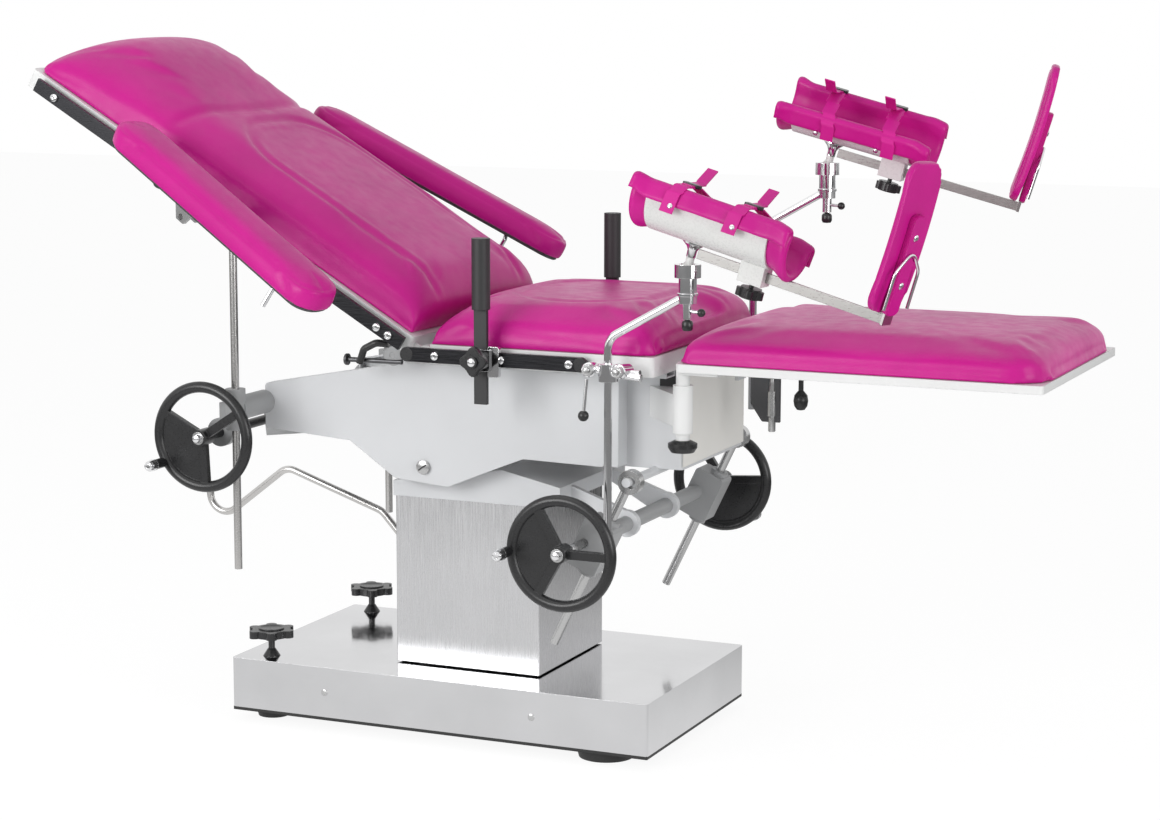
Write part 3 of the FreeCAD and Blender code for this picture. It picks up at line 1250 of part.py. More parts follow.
def make_leg():
    tray = pan("leg_pan", "leg_head", "leg_end", "seat_half_wide", "leg_pan_deep", "plate_corner")
    lifted = local(tray, 0, 0, "leg_top")
    finish(place(joined("leg_pan_welded", [lifted] + leg_pin())), "leg_pan")

    cushion = new_body("leg_cushion")
    half = "seat_half_wide - foam_inset"
    pad(cushion, "XY_Plane", [rectangle("leg_head + foam_inset", "leg_end", f"-({half})", half)],
        "leg_foam")
    rounded(cushion, lambda way, at: upright(way, at) and at.x > size("leg_end") - 1, "leg_corner")
    finish(place(cushion, 0, 0, "leg_top"), "leg_cushion")

    foot = "leg_sleeve_low - 12 - slide_gap"
    knob = turned("leg_knob_turned", [
        (0, f"{foot} - leg_knob_thick"), ("leg_knob_radius * 0.8", f"{foot} - leg_knob_thick"),
        ("leg_knob_radius", f"{foot} - leg_knob_thick * 0.6"), ("leg_knob_radius", f"{foot} - 5"),
        ("leg_knob_radius * 0.6", foot), (0, foot)])
    finish(place(knob, "leg_hinge_x", f"-{LEG_HINGE_Y}", 0), "leg_swing_knob")

    sleeve = rod("leg_sleeve_radius", "leg_sleeve_low", "leg_sleeve_top - leg_sleeve_low",
                 "leg_hinge_x", f"-{LEG_HINGE_Y}")
    arm = new_body("leg_hinge_arm")
    outline = [("end_box_x - 62", "-end_box_half_wide"), ("leg_hinge_x - 14", f"-{LEG_HINGE_Y} - 8"),
               ("leg_hinge_x + 10", f"-{LEG_HINGE_Y} + 12"), ("end_box_x - 8", "-end_box_half_wide")]
    pad(arm, "XY_Plane", [outline], "leg_arm_high", "leg_arm_low")
    bore = rod("leg_pin_radius + run_gap", "leg_sleeve_low - 1",
               "leg_sleeve_top - leg_sleeve_low + 2", "leg_hinge_x", f"-{LEG_HINGE_Y}")
    bracket = without("leg_hinge_bracket", joined("leg_hinge_solid", [sleeve, arm]), bore)
    finish(place(bracket), "leg_hinge_bracket")


def leg_pin():
    """The swing pin of the leg section and its flange under the pan."""
    under = "leg_top - leg_pan_deep"
    x, y = "leg_hinge_x", f"-{LEG_HINGE_Y}"
    pin = rod("leg_pin_radius", "leg_sleeve_low - 12", f"{under} - leg_sleeve_low + 12", x, y)
    flange = box(f"{x} - 2 + 0.5 * pan_wall", f"{x} + leg_flange", f"{y} - leg_flange * 0.3",
                 f"{y} + leg_flange * 0.7", f"{under} - leg_flange_thick", f"{under} + 1")
    stem = rod("leg_pin_radius * 0.8", under, "leg_pan_deep - 1", x, y)
    web = box(f"{x} - 2 + 0.5 * pan_wall", f"{x} + leg_flange", f"{y} - 3", f"{y} + 3",
              under, "leg_top - 1")
    return [pin, flange, stem, web]


# Armrests


def arm_frame(name, pieces, side, slope=None):
    """Stand pieces on the armrest's pivot, opened towards the foot end."""
    inner = group(name + "_inner", pieces)
    if slope is not None:
        local(inner, 0, 0, 0, ALONG_Y, slope)
    outer = group(name + "_outer", [inner])
    return place(outer, "post_x", f"{side} * {POST_Y}", "post_top", ALONG_Z, f"{side} * arm_splay")


def make_armrest(name, side):
    post = rod("post_radius", "post_low - post_top", "post_top - post_low - 2")
    low, high = span(side, "-post_radius * 0.9", "post_radius * 3")
    head = rod("post_radius * 1.7", low, f"{high} - ({low})", along="y")
    low, high = span(side, "-post_radius / 2", "arm_out + 18")
    pin = rod("arm_pin_radius", low, f"{high} - ({low})", along="y")
    finish(arm_frame(name + "_post", [joined(name + "_post_solid", [post, head, pin])], side),
           name + "_post")

    half = "arm_wide / 2"
    middle = f"{side} * arm_out"
    body = new_body(name + "_cushion_body")
    outline = rectangle("-arm_reach", "arm_long - arm_reach", f"{middle} - {half}",
                        f"{middle} + {half}")
    pad(body, "XY_Plane", [outline], "arm_thick + arm_board", "arm_drop")
    rounded(body, upright, "arm_wide * 0.4")
    lugs = []
    for index, spot in enumerate((-18, 10)):
        lug = new_body(f"{name}_lug_{index}")
        shape = [("-arm_pin_radius * 2.2", "-arm_pin_radius * 2"),
                 ("arm_pin_radius * 2.2", "-arm_pin_radius * 2"),
                 ("arm_pin_radius * 5", "arm_drop"), ("-arm_pin_radius * 5", "arm_drop")]
        hole = (0, 0, "arm_pin_radius + run_gap")
        pad(lug, "XZ_Plane", [shape, hole], 8, f"-({middle} + {spot} + 8)")
        lugs.append(lug)
    solid = joined(name + "_pad_solid", [body] + lugs)
    finish(arm_frame(name + "_pad", [solid], side, "arm_angle"), name + "_pad")


# Leg supports


def make_support(name, side, raise_by, lead):
    """One leg support: bent rod, swivel collar, shell with lining, foot bar and foot pad."""
    y = f"{side} * {SUPPORT_Y}"
    post_x = f"(support_x + {lead})"
    centre_x = f"(socket_x + {lead})"
    centre_z = f"(socket_z + {raise_by})"
    stops = [(post_x, y, f"support_low + {raise_by}"), (post_x, y, f"support_bend_z + {raise_by}"),
             (centre_x, y, f"socket_low + 14 + {raise_by}")]
    bar = bent_rod(stops, "support_radius", "support_bend")
    low = f"socket_low + {raise_by}"
    socket = rod("socket_radius", low, "socket_z - socket_low - collar_under - slide_gap",
                 centre_x, y)
    stub = rod("socket_radius * 0.55", f"{low} - stub_reach", "stub_reach + stub_lap", centre_x, y)
    finish(place(joined(name + "_rod_solid", [bar, socket, stub])), name + "_rod")

    ring = rod("collar_radius", f"{centre_z} - collar_under", "collar_high", centre_x, y)
    hollow = doc.addObject("Part::Sphere", name + "_hollow")
    tie(hollow, "Radius", "ball_radius + run_gap")
    local(hollow, centre_x, y, centre_z)
    mouth = doc.addObject("Part::Cone", name + "_mouth")
    tie(mouth, "Radius1", "stem_radius + mouth_room")
    tie(mouth, "Radius2", "stem_radius + mouth_room + mouth_depth")
    tie(mouth, "Height", "mouth_depth")
    local(mouth, centre_x, y, centre_z)
    cut = without(name + "_collar_cut", without(name + "_collar_ball", ring, hollow), mouth)
    finish(place(cut), name + "_swivel_collar")
    make_rest(name, side, centre_x, centre_z)


def rest_frame(name, pieces, side, x, z):
    """Stand pieces on the ball's centre with their X axis down along the leg rest."""
    inner = local(group(name + "_inner", pieces), 0, 0, 0, ALONG_Y, "rest_slope")
    outer = group(name + "_outer", [inner])
    return place(outer, x, f"{side} * {SUPPORT_Y}", z, ALONG_Z, f"{side} * rest_splay")


def make_rest(name, side, x, z):
    axis_z = "(stem_long + rest_radius)"
    roll = f"{side} * rest_roll"
    shell = gutter(name + "_shell", "rest_start", "rest_long", axis_z, "rest_radius",
                   "rest_wall", "rest_open", roll)
    ball = doc.addObject("Part::Sphere", name + "_ball")
    tie(ball, "Radius", "ball_radius")
    stem = rod("stem_radius", 0, "stem_long + rest_wall / 2")
    bar_z = "(stem_long - bar_drop)"
    block = box("block_at - block_wide / 2", "block_at + block_wide / 2", "-block_deep / 2",
                "block_deep / 2", f"{bar_z} - bar_wide", "stem_long + rest_wall / 2 + 1")
    slot = box("block_at - block_wide", "block_at + block_wide",
               "-bar_thick / 2 - slide_gap", "bar_thick / 2 + slide_gap",
               f"{bar_z} - bar_wide / 2 - slide_gap", f"{bar_z} + bar_wide / 2 + slide_gap")
    screw_hole = rod("star_screw_radius + run_gap", f"{bar_z} - 2 * bar_wide", "2 * bar_wide",
                     "block_at")
    solid = joined(name + "_rest_solid", [shell, ball, stem, block])
    slotted = without(name + "_rest_slotted", solid, slot)
    bored = without(name + "_rest_bored", slotted, screw_hole)
    finish(rest_frame(name + "_rest", [bored], side, x, z), name + "_rest")

    lining = gutter(name + "_lining", "rest_start - calf_pad_head",
                    "rest_long + calf_pad_head + calf_pad_foot", axis_z,
                    "rest_radius - rest_wall", "calf_pad_thick", "rest_open + 6", roll)
    finish(rest_frame(name + "_pad", [lining], side, x, z), name + "_calf_pad")

    make_star_knob(name, side, x, z, bar_z)
    make_foot_bar(name, side, x, z, bar_z)


def make_star_knob(name, side, x, z, bar_z):
    """The knob below the clamp block; its screw presses on the foot bar."""
    tip = f"{bar_z} - bar_wide / 2 - slide_gap * 2"
    top = f"{bar_z} - bar_wide - star_gap"
    screw = rod("star_screw_radius", f"{top} - 2", f"{tip} - ({top}) + 2", "block_at")
    core = rod("star_radius * 0.72", f"{top} - star_thick", "star_thick", "block_at")
    lobes = []
    for index in range(5):
        turn = index * 72
        lobes.append(rod("star_radius * 0.3", f"{top} - star_thick * 0.9", "star_thick * 0.8",
                         f"block_at + star_radius * 0.7 * cos({turn})",
                         f"star_radius * 0.7 * sin({turn})"))
    knob = joined(name + "_star_solid", [screw, core] + lobes)
    finish(rest_frame(name + "_star", [knob], side, x, z), name + "_star_knob")


def make_foot_bar(name, side, x, z, bar_z):
    """The foot bar with the upright strip at its end, and the foot pad on the strip."""
    end = "bar_start + bar_long"
    bar = box("bar_start", f"{end} + sole_strip_thick / 2", "-bar_thick / 2", "bar_thick / 2",
              f"{bar_z} - bar_wide / 2", f"{bar_z} + bar_wide / 2")
    strip = box(0, "sole_strip_thick", "-sole_strip_wide / 2", "sole_strip_wide / 2",
                "-bar_wide / 2", "sole_strip_high")
    pad_body = new_body(name + "_sole_body")
    shape = rectangle("-sole_wide / 2", "sole_wide / 2", "sole_gap", "sole_gap + sole_long")
    pad(pad_body, "YZ_Plane", [shape], "sole_thick", back=True)
    rounded(pad_body, lambda way, at: abs(way.x) > 0.99, "sole_wide * 0.3")
    stood = []
    for kind, piece in (("strip", strip), ("pad", pad_body)):
        splayed = local(group(f"{name}_{kind}_splay", [piece]), 0, 0, 0, ALONG_Z,
                        f"{side} * sole_splay")
        stood.append(local(group(f"{name}_{kind}_lean", [splayed]), end, 0, bar_z,
                           ALONG_Y, "sole_lean - rest_slope"))
    finish(rest_frame(name + "_bar", [joined(name + "_bar_solid", [bar, stood[0]])], side, x, z),
           name + "_foot_bar")
    finish(rest_frame(name + "_sole", [stood[1]], side, x, z), name + "_foot_pad")


def gutter(name, start, long, axis_z, radius, wall, rim, roll):
    """A round gutter along X, open at the top above its rims and leaning to one side."""
    outer = rod(radius, start, long, 0, 0, axis_z, "x")
    inner = rod(f"{radius} - {wall}", f"{start} - 1", f"{long} + 2", 0, 0, axis_z, "x")
    tube = without(name + "_tube", outer, inner)
    lid = box(f"{start} - 2", f"{start} + {long} + 2", f"-{radius} - 5", f"{radius} + 5",
              rim, f"{radius} + 9")
    tilted = local(group(name + "_lid", [lid]), 0, 0, axis_z, ALONG_X, roll)
    return without(name, tube, tilted)


# Whole table


def check(thing):
    """Every feature recomputed, every sub-part sound."""
    if "Invalid" in thing.State or "Error" in thing.State:
        raise ValueError(f"{thing.Label} failed: {thing.State}")


def export():
    doc.recompute()
    for thing in doc.Objects:
        check(thing)
    os.makedirs("parts", exist_ok=True)
    for thing in finished:
        shape = thing.Shape
        if shape.isNull() or not shape.isValid():
            raise ValueError(f"{thing.Label} has no sound shape")
        shape.exportStep(os.path.join("parts", thing.Label + ".step"))
        print(thing.Label, len(shape.Solids), round(shape.Volume))
    print(len(finished), "sub-parts")


make_base()
make_floor_lock("near_floor_lock", NEAR)
make_floor_lock("far_floor_lock", FAR)
make_column()
make_pump_lever()
make_jack()
make_tilt_wheels()
make_frame()
make_seat()
make_rail_clamps()
make_grips()
make_back()
make_back_drive()
make_leg()
make_armrest("near_armrest", NEAR)
make_armrest("far_armrest", FAR)
make_support("near_leg", NEAR, "0", "0")
make_support("far_leg", FAR, "support_raise", "support_lead")
export()
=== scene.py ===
# %% [markdown]
# An obstetric delivery table stands on a boxed stainless base. A square column lifts a light gray
# frame, and magenta cushions lie on pressed pans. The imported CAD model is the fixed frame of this
# scene: rigid pieces keep their CAD mesh and get a finish, and soft pieces are modelled here.

# %% Load the frame
import json
import math
import bmesh
import bpy
from mathutils import Matrix, Vector, noise


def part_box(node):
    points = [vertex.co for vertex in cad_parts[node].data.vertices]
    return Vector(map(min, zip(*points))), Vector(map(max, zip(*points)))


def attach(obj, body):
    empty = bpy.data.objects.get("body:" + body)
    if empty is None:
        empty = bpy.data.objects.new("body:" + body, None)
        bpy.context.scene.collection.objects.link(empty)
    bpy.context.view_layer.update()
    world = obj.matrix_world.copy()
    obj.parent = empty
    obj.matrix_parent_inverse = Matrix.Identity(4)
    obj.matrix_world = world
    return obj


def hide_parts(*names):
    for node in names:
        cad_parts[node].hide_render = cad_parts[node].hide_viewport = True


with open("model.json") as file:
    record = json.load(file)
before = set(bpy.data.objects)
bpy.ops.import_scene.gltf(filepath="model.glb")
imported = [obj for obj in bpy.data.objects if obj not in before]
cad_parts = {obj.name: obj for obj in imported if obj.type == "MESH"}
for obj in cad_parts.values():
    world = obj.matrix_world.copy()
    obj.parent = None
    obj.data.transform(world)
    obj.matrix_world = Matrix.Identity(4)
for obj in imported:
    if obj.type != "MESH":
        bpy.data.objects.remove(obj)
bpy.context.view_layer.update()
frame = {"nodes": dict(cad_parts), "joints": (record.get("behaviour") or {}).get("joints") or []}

nodes = frame["nodes"]
joints = {joint["name"]: joint for joint in frame["joints"]}

# %% [markdown]
# Pieces are placed from the frame itself. A hinge's own pivot gives the origin of the section that
# turns on it, and lengths along the table are counted from the middle of the lift column.

# %% Places on the table
column_low, column_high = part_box("inner_column")
column_x = (column_low.x + column_high.x) / 2
NEAR, FAR = -1, 1
SIDES = (("near", NEAR), ("far", FAR))


def pivot(joint):
    return Vector(joints[joint]["pos_m"])


def stand(origin, splay=0.0, slope=0.0, roll=0.0):
    """A place: turned about Z by splay, then about Y by slope and about X by roll, in degrees."""
    turn = Matrix.Rotation(math.radians(splay), 4, "Z") @ Matrix.Rotation(math.radians(slope), 4, "Y")
    return Matrix.Translation(origin) @ turn @ Matrix.Rotation(math.radians(roll), 4, "X")


def at(x, y, z):
    """A point counted along the table from the middle of the column."""
    return Vector((column_x + x, y, z))


def facing(origin, direction):
    """A place whose Z axis points along a direction."""
    return Matrix.Translation(origin) @ Vector(direction).to_track_quat("Z", "Y").to_matrix().to_4x4()


BACK_SLOPE = 30.4
ARM_SLOPE, ARM_SPLAY = 28.5, 17.0
REST_SLOPE, REST_SPLAY, REST_ROLL = 15.0, 5.0, 20.0
back_place = stand(pivot("back_lift"), slope=BACK_SLOPE)
arm_places = {name: stand(pivot(f"{name}_armrest_slope"), side * ARM_SPLAY, ARM_SLOPE)
              for name, side in SIDES}
rest_places = {name: stand(pivot(f"{name}_leg_slope"), side * REST_SPLAY, REST_SLOPE)
               for name, side in SIDES}
print("middle of the column at x =", round(column_x, 4))

# %% [markdown]
# Every finish starts from the Principled shader. A constant goes on the shader's own socket, and
# what changes over the surface comes from noise in object coordinates, so no image is needed.

# %% Finish helpers
def new_finish(name, color, roughness, metallic=0.0):
    material = bpy.data.materials.new(name)
    material.use_nodes = True
    shader = material.node_tree.nodes["Principled BSDF"]
    shader.inputs["Base Color"].default_value = (*color, 1)
    shader.inputs["Roughness"].default_value = roughness
    shader.inputs["Metallic"].default_value = metallic
    material.diffuse_color = (*color, 1)
    return material, shader


def add_node(material, kind, **inputs):
    node = material.node_tree.nodes.new(kind)
    for socket, value in inputs.items():
        node.inputs[socket.replace("_", " ")].default_value = value
    return node


def join(material, source, target):
    material.node_tree.links.new(source, target)


print("finish helpers ready")

# %% [markdown]
# Wear and grain are noise in object coordinates. One helper gives the noise, two turn it into a
# number or a colour, and one makes a bump of it, which also softens the look of sharp edges.

# %% Noise on a surface
def grain(material, scale, stretch=(1, 1, 1), detail=4.0):
    """Noise in object coordinates; a stretch of less than 1 draws it out along that axis."""
    place = add_node(material, "ShaderNodeTexCoord")
    squeeze = add_node(material, "ShaderNodeMapping", Scale=stretch)
    pattern = add_node(material, "ShaderNodeTexNoise", Scale=scale, Detail=detail)
    join(material, place.outputs["Object"], squeeze.inputs["Vector"])
    join(material, squeeze.outputs["Vector"], pattern.inputs["Vector"])
    return pattern.outputs["Fac"]


def spread(material, factor, low, high):
    """A number between low and high that follows a factor."""
    change = add_node(material, "ShaderNodeMapRange")
    change.inputs["From Min"].default_value = 0.3
    change.inputs["From Max"].default_value = 0.7
    change.inputs["To Min"].default_value = low
    change.inputs["To Max"].default_value = high
    join(material, factor, change.inputs["Value"])
    return change.outputs["Result"]


def shade_between(material, factor, dark, light):
    ramp = add_node(material, "ShaderNodeValToRGB")
    ramp.color_ramp.elements[0].position = 0.3
    ramp.color_ramp.elements[0].color = (*dark, 1)
    ramp.color_ramp.elements[1].position = 0.7
    ramp.color_ramp.elements[1].color = (*light, 1)
    join(material, factor, ramp.inputs["Fac"])
    return ramp.outputs["Color"]


def roughen(material, shader, height, depth, edge=0.0):
    """Bump from a height, on a surface whose sharp edges look rounded by edge metres."""
    bump = add_node(material, "ShaderNodeBump", Strength=1.0, Distance=depth)
    join(material, height, bump.inputs["Height"])
    if edge:
        softened = add_node(material, "ShaderNodeBevel", Radius=edge)
        softened.samples = 4
        join(material, softened.outputs["Normal"], bump.inputs["Normal"])
    join(material, bump.outputs["Normal"], shader.inputs["Normal"])


def tinted(color, factor):
    return tuple(min(1.0, value * factor) for value in color)


print("noise helpers ready")

# %% [markdown]
# The covers are artificial leather: a smooth magenta film with a fine pebble grain. Its grain is a
# Voronoi pattern about a millimetre across, and a faint broad noise keeps the gloss uneven.

# %% Artificial leather
def leather_finish(name, color, gloss=0.34):
    material, shader = new_finish(name, color, gloss)
    cloudy = grain(material, 7.0)
    join(material, shade_between(material, cloudy, tinted(color, 0.9), tinted(color, 1.07)),
         shader.inputs["Base Color"])
    join(material, spread(material, grain(material, 40.0), gloss - 0.05, gloss + 0.07),
         shader.inputs["Roughness"])
    place = add_node(material, "ShaderNodeTexCoord")
    pebbles = add_node(material, "ShaderNodeTexVoronoi", Scale=620.0)
    pebbles.feature = "SMOOTH_F1"
    join(material, place.outputs["Object"], pebbles.inputs["Vector"])
    roughen(material, shader, pebbles.outputs["Distance"], 0.00022)
    shader.inputs["Specular IOR Level"].default_value = 0.25
    return material


magenta = leather_finish("magenta_leather", (0.58, 0.010, 0.262))
magenta_strap = leather_finish("magenta_strap", (0.62, 0.016, 0.28), 0.4)
print("leather finishes:", magenta.name, magenta_strap.name)

# %% [markdown]
# Stainless sheet is brushed in one direction. Noise drawn out along that direction changes the
# roughness and the height a little, which spreads each reflection across the brushing.

# %% Metals
def brushed_finish(name, color, gloss, along, depth=0.00003, edge=0.0012):
    material, shader = new_finish(name, color, gloss, 1.0)
    stretch = [1.0, 1.0, 1.0]
    stretch["XYZ".index(along)] = 0.02
    lines = grain(material, 900.0, stretch, 2.0)
    join(material, spread(material, lines, gloss - 0.06, gloss + 0.08), shader.inputs["Roughness"])
    smudges = grain(material, 6.0)
    join(material, shade_between(material, smudges, tinted(color, 0.95), tinted(color, 1.04)),
         shader.inputs["Base Color"])
    roughen(material, shader, lines, depth, edge)
    return material


def plated_finish(name, color, gloss, edge=0.0008):
    """Chrome or ground steel: smooth, with faint wipe marks in the gloss."""
    material, shader = new_finish(name, color, gloss, 1.0)
    marks = grain(material, 60.0, (1, 1, 0.4))
    join(material, spread(material, marks, max(0.03, gloss - 0.04), gloss + 0.05),
         shader.inputs["Roughness"])
    roughen(material, shader, grain(material, 300.0), 0.00001, edge)
    return material


bright_sheet = brushed_finish("bright_stainless_sheet", (0.60, 0.60, 0.61), 0.10, "X", 0.000006)
column_sheet = brushed_finish("brushed_column_sheet", (0.57, 0.57, 0.58), 0.26, "Z", 0.000005)
rail_steel = brushed_finish("dark_rail_steel", (0.035, 0.035, 0.038), 0.26, "X", 0.000008)
bar_steel = brushed_finish("brushed_bar", (0.36, 0.35, 0.34), 0.32, "X", 0.00002)
pump_steel = brushed_finish("bent_stainless_bar", (0.55, 0.54, 0.53), 0.22, "X", 0.00001)
ground_steel = plated_finish("ground_steel", (0.50, 0.50, 0.50), 0.25)
chrome = plated_finish("chrome_plate", (0.74, 0.74, 0.75), 0.08)
dark_steel = plated_finish("dark_bracket_steel", (0.11, 0.11, 0.115), 0.38)
print("metals:", bright_sheet.name, column_sheet.name, rail_steel.name, chrome.name)

# %% [markdown]
# Painted steel has an orange-peel surface: low, soft waves under a satin coat. Moulded plastics get
# a fine grain, and rubber a coarser and duller one.

# %% Paints, plastics and rubber
def coated_finish(name, color, gloss, wave=180.0, depth=0.00004, edge=0.0015, coat=0.0):
    material, shader = new_finish(name, color, gloss)
    cloudy = grain(material, 5.0)
    join(material, shade_between(material, cloudy, tinted(color, 0.965), tinted(color, 1.02)),
         shader.inputs["Base Color"])
    peel = grain(material, wave, detail=2.0)
    join(material, spread(material, peel, gloss - 0.04, gloss + 0.05), shader.inputs["Roughness"])
    roughen(material, shader, peel, depth, edge)
    shader.inputs["Coat Weight"].default_value = coat
    shader.inputs["Coat Roughness"].default_value = 0.2
    return material


gray_paint = coated_finish("light_gray_paint", (0.66, 0.67, 0.685), 0.36, coat=0.15)
beige_paint = coated_finish("beige_end_panel_paint", (0.86, 0.845, 0.81), 0.42)
white_paint = coated_finish("white_paint", (0.80, 0.805, 0.80), 0.32, coat=0.2)
cast_paint = coated_finish("gray_casting_paint", (0.36, 0.365, 0.37), 0.45, 260.0, 0.00012)
shell_plastic = coated_finish("white_shell_plastic", (0.74, 0.745, 0.73), 0.28, 240.0, 0.00002)
black_plastic = coated_finish("moulded_black_plastic", (0.014, 0.014, 0.015), 0.30, 420.0, 0.00004,
                              0.002)
grip_rubber = coated_finish("black_grip_rubber", (0.022, 0.022, 0.023), 0.5, 700.0, 0.0001, 0.002)
foot_rubber = coated_finish("black_foot_rubber", (0.018, 0.018, 0.018), 0.62, 500.0, 0.00015, 0.002)
# shadow_paint is near-black painted shade: it stands for the shade in the gap under the column sleeve, in
# the bolt slots and in the opening of the end box.
shadow_paint = coated_finish("painted_shade_near_black", (0.03, 0.03, 0.032), 0.6)
print("coats:", gray_paint.name, white_paint.name, black_plastic.name)

# %% [markdown]
# Each CAD node that stays visible takes the finish of its real piece, except the inner column, which takes
# near-black painted shade for the dark gap where it shows under the column sleeve. The list is short,
# because the CAD already names the pieces by what they are.

# %% Finishes of the CAD pieces
CAD_FINISHES = {
    "base_cover": bright_sheet, "base_plate": foot_rubber, "inner_column": shadow_paint,
    "lift_cylinder": ground_steel, "lift_ram": chrome, "column_sleeve": column_sheet,
    "saddle": gray_paint, "pump_lever": pump_steel, "near_side_plate": gray_paint,
    "far_side_plate": gray_paint, "frame_beams": gray_paint, "tilt_shaft": ground_steel,
    "end_box": gray_paint, "seat_pan": white_paint, "back_pan": white_paint, "leg_pan": white_paint,
    "seat_rails": rail_steel, "back_rails": rail_steel, "rail_clamps": chrome,
    "head_casting": cast_paint, "leg_hinge_bracket": white_paint, "tilt_gearboxes": cast_paint,
    "near_tilt_screw": ground_steel, "far_tilt_screw": ground_steel, "tilt_wheels": black_plastic,
    "back_wheel": black_plastic, "back_lead_screw": ground_steel, "back_nut": dark_steel,
    "back_fork": dark_steel, "leg_swing_knob": black_plastic, "near_floor_lock": black_plastic,
    "far_floor_lock": black_plastic, "back_crank_handle": black_plastic,
}
for side_name, side in SIDES:
    CAD_FINISHES[f"{side_name}_crank_handle"] = black_plastic
    CAD_FINISHES[f"{side_name}_armrest_post"] = pump_steel
    CAD_FINISHES[f"{side_name}_hand_grip"] = grip_rubber
    CAD_FINISHES[f"{side_name}_grip_knob"] = black_plastic
    CAD_FINISHES[f"{side_name}_leg_rod"] = chrome
    CAD_FINISHES[f"{side_name}_leg_swivel_collar"] = chrome
    CAD_FINISHES[f"{side_name}_leg_rest"] = shell_plastic
    CAD_FINISHES[f"{side_name}_leg_foot_bar"] = bar_steel
    CAD_FINISHES[f"{side_name}_leg_star_knob"] = black_plastic
for node_name, finish in CAD_FINISHES.items():
    slots = nodes[node_name].data.materials
    slots.clear()
    slots.append(finish)
print(len(CAD_FINISHES), "CAD pieces finished")

# %% [markdown]
# New pieces come from a few mesh builders. Each returns a finished object that rides on its CAD body. Knobs,
# caps and bolts are turned pieces: a profile spun about an axis, as on a lathe.

# %% Turned pieces
def settle(name, mesh_data, place, finish, body, smooth=40.0):
    """Link a bmesh as an object at a place, finish it and let it ride on a body."""
    mesh = bpy.data.meshes.new(name)
    bmesh.ops.recalc_face_normals(mesh_data, faces=mesh_data.faces)
    mesh_data.to_mesh(mesh)
    mesh_data.free()
    mesh.transform(place)
    mesh.materials.append(finish)
    mesh.polygons.foreach_set("use_smooth", [True] * len(mesh.polygons))
    mesh.set_sharp_from_angle(angle=math.radians(smooth))
    piece = bpy.data.objects.new(name, mesh)
    bpy.context.scene.collection.objects.link(piece)
    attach(piece, body)
    return piece


def spun(name, profile, place, finish, body, steps=40):
    """A turned piece: (radius, height) pairs spun about the place's Z axis."""
    shape = bmesh.new()
    rings = []
    for radius, height in profile:
        if radius == 0:
            rings.append([shape.verts.new((0, 0, height))])
            continue
        rings.append([shape.verts.new((radius * math.cos(2 * math.pi * step / steps),
                                       radius * math.sin(2 * math.pi * step / steps), height))
                      for step in range(steps)])
    for lower, upper in zip(rings, rings[1:]):
        for step in range(steps):
            after = (step + 1) % steps
            if len(lower) == 1:
                shape.faces.new((lower[0], upper[step], upper[after]))
            elif len(upper) == 1:
                shape.faces.new((lower[step], lower[after], upper[0]))
            else:
                shape.faces.new((lower[step], lower[after], upper[after], upper[step]))
    return settle(name, shape, place, finish, body)


print("turned pieces ready")

# %% [markdown]
# Brackets, boards and nuts are cut plates: an outline pushed up by its thickness, with the edges
# broken by a small bevel so that they catch the light.

# %% Cut plates
def cut_plate(name, outline, thick, place, finish, body, bevel=0.001):
    """A plate cut to an outline in the place's XY plane, with its edges broken."""
    shape = bmesh.new()
    face = shape.faces.new([shape.verts.new((x, y, 0)) for x, y in outline])
    grown = bmesh.ops.extrude_face_region(shape, geom=[face])
    lifted = [item for item in grown["geom"] if isinstance(item, bmesh.types.BMVert)]
    bmesh.ops.translate(shape, verts=lifted, vec=(0, 0, thick))
    if bevel:
        bmesh.ops.recalc_face_normals(shape, faces=shape.faces)
        bmesh.ops.bevel(shape, geom=shape.edges[:], offset=bevel, segments=2, affect="EDGES",
                        clamp_overlap=True)
    return settle(name, shape, place, finish, body)


def rectangle(long, wide):
    return [(-long / 2, -wide / 2), (long / 2, -wide / 2), (long / 2, wide / 2), (-long / 2, wide / 2)]


def rounded_outline(long, wide, corner, steps=6):
    """A rectangle with round corners, centred."""
    points = []
    for turn, (x_sign, y_sign) in enumerate(((1, 1), (-1, 1), (-1, -1), (1, -1))):
        for step in range(steps + 1):
            angle = math.pi / 2 * (turn + step / steps)
            points.append((x_sign * (long / 2 - corner) + corner * math.cos(angle),
                           y_sign * (wide / 2 - corner) + corner * math.sin(angle)))
    return points


def lobed_outline(radius, lobes, depth, steps=8):
    """A knob seen from above, with round lobes for the fingers."""
    count = lobes * steps
    return [((radius - depth * (1 - math.cos(lobes * 2 * math.pi * step / count)) / 2)
             * math.cos(2 * math.pi * step / count),
             (radius - depth * (1 - math.cos(lobes * 2 * math.pi * step / count)) / 2)
             * math.sin(2 * math.pi * step / count)) for step in range(count)]


print("cut plates ready")

# %% [markdown]
# Levers and wires are bars: a cross section carried along a path whose corners are rounded to a
# bend radius, as a bender leaves them.

# %% Bent bars
def rounded_path(corners, bend, steps=8):
    """The corners joined by straight runs, each inner corner rounded to a bend radius."""
    path = [Vector(corners[0])]
    for before, corner, after in zip(corners, corners[1:], corners[2:]):
        corner = Vector(corner)
        into = (corner - Vector(before)).normalized()
        out = (Vector(after) - corner).normalized()
        half = into.angle(out) / 2
        back = bend * math.tan(half)
        for step in range(steps + 1):
            part = step / steps
            first = corner - into * back * (1 - part)
            second = corner + out * back * part
            path.append(first.lerp(second, part))
    path.append(Vector(corners[-1]))
    return path


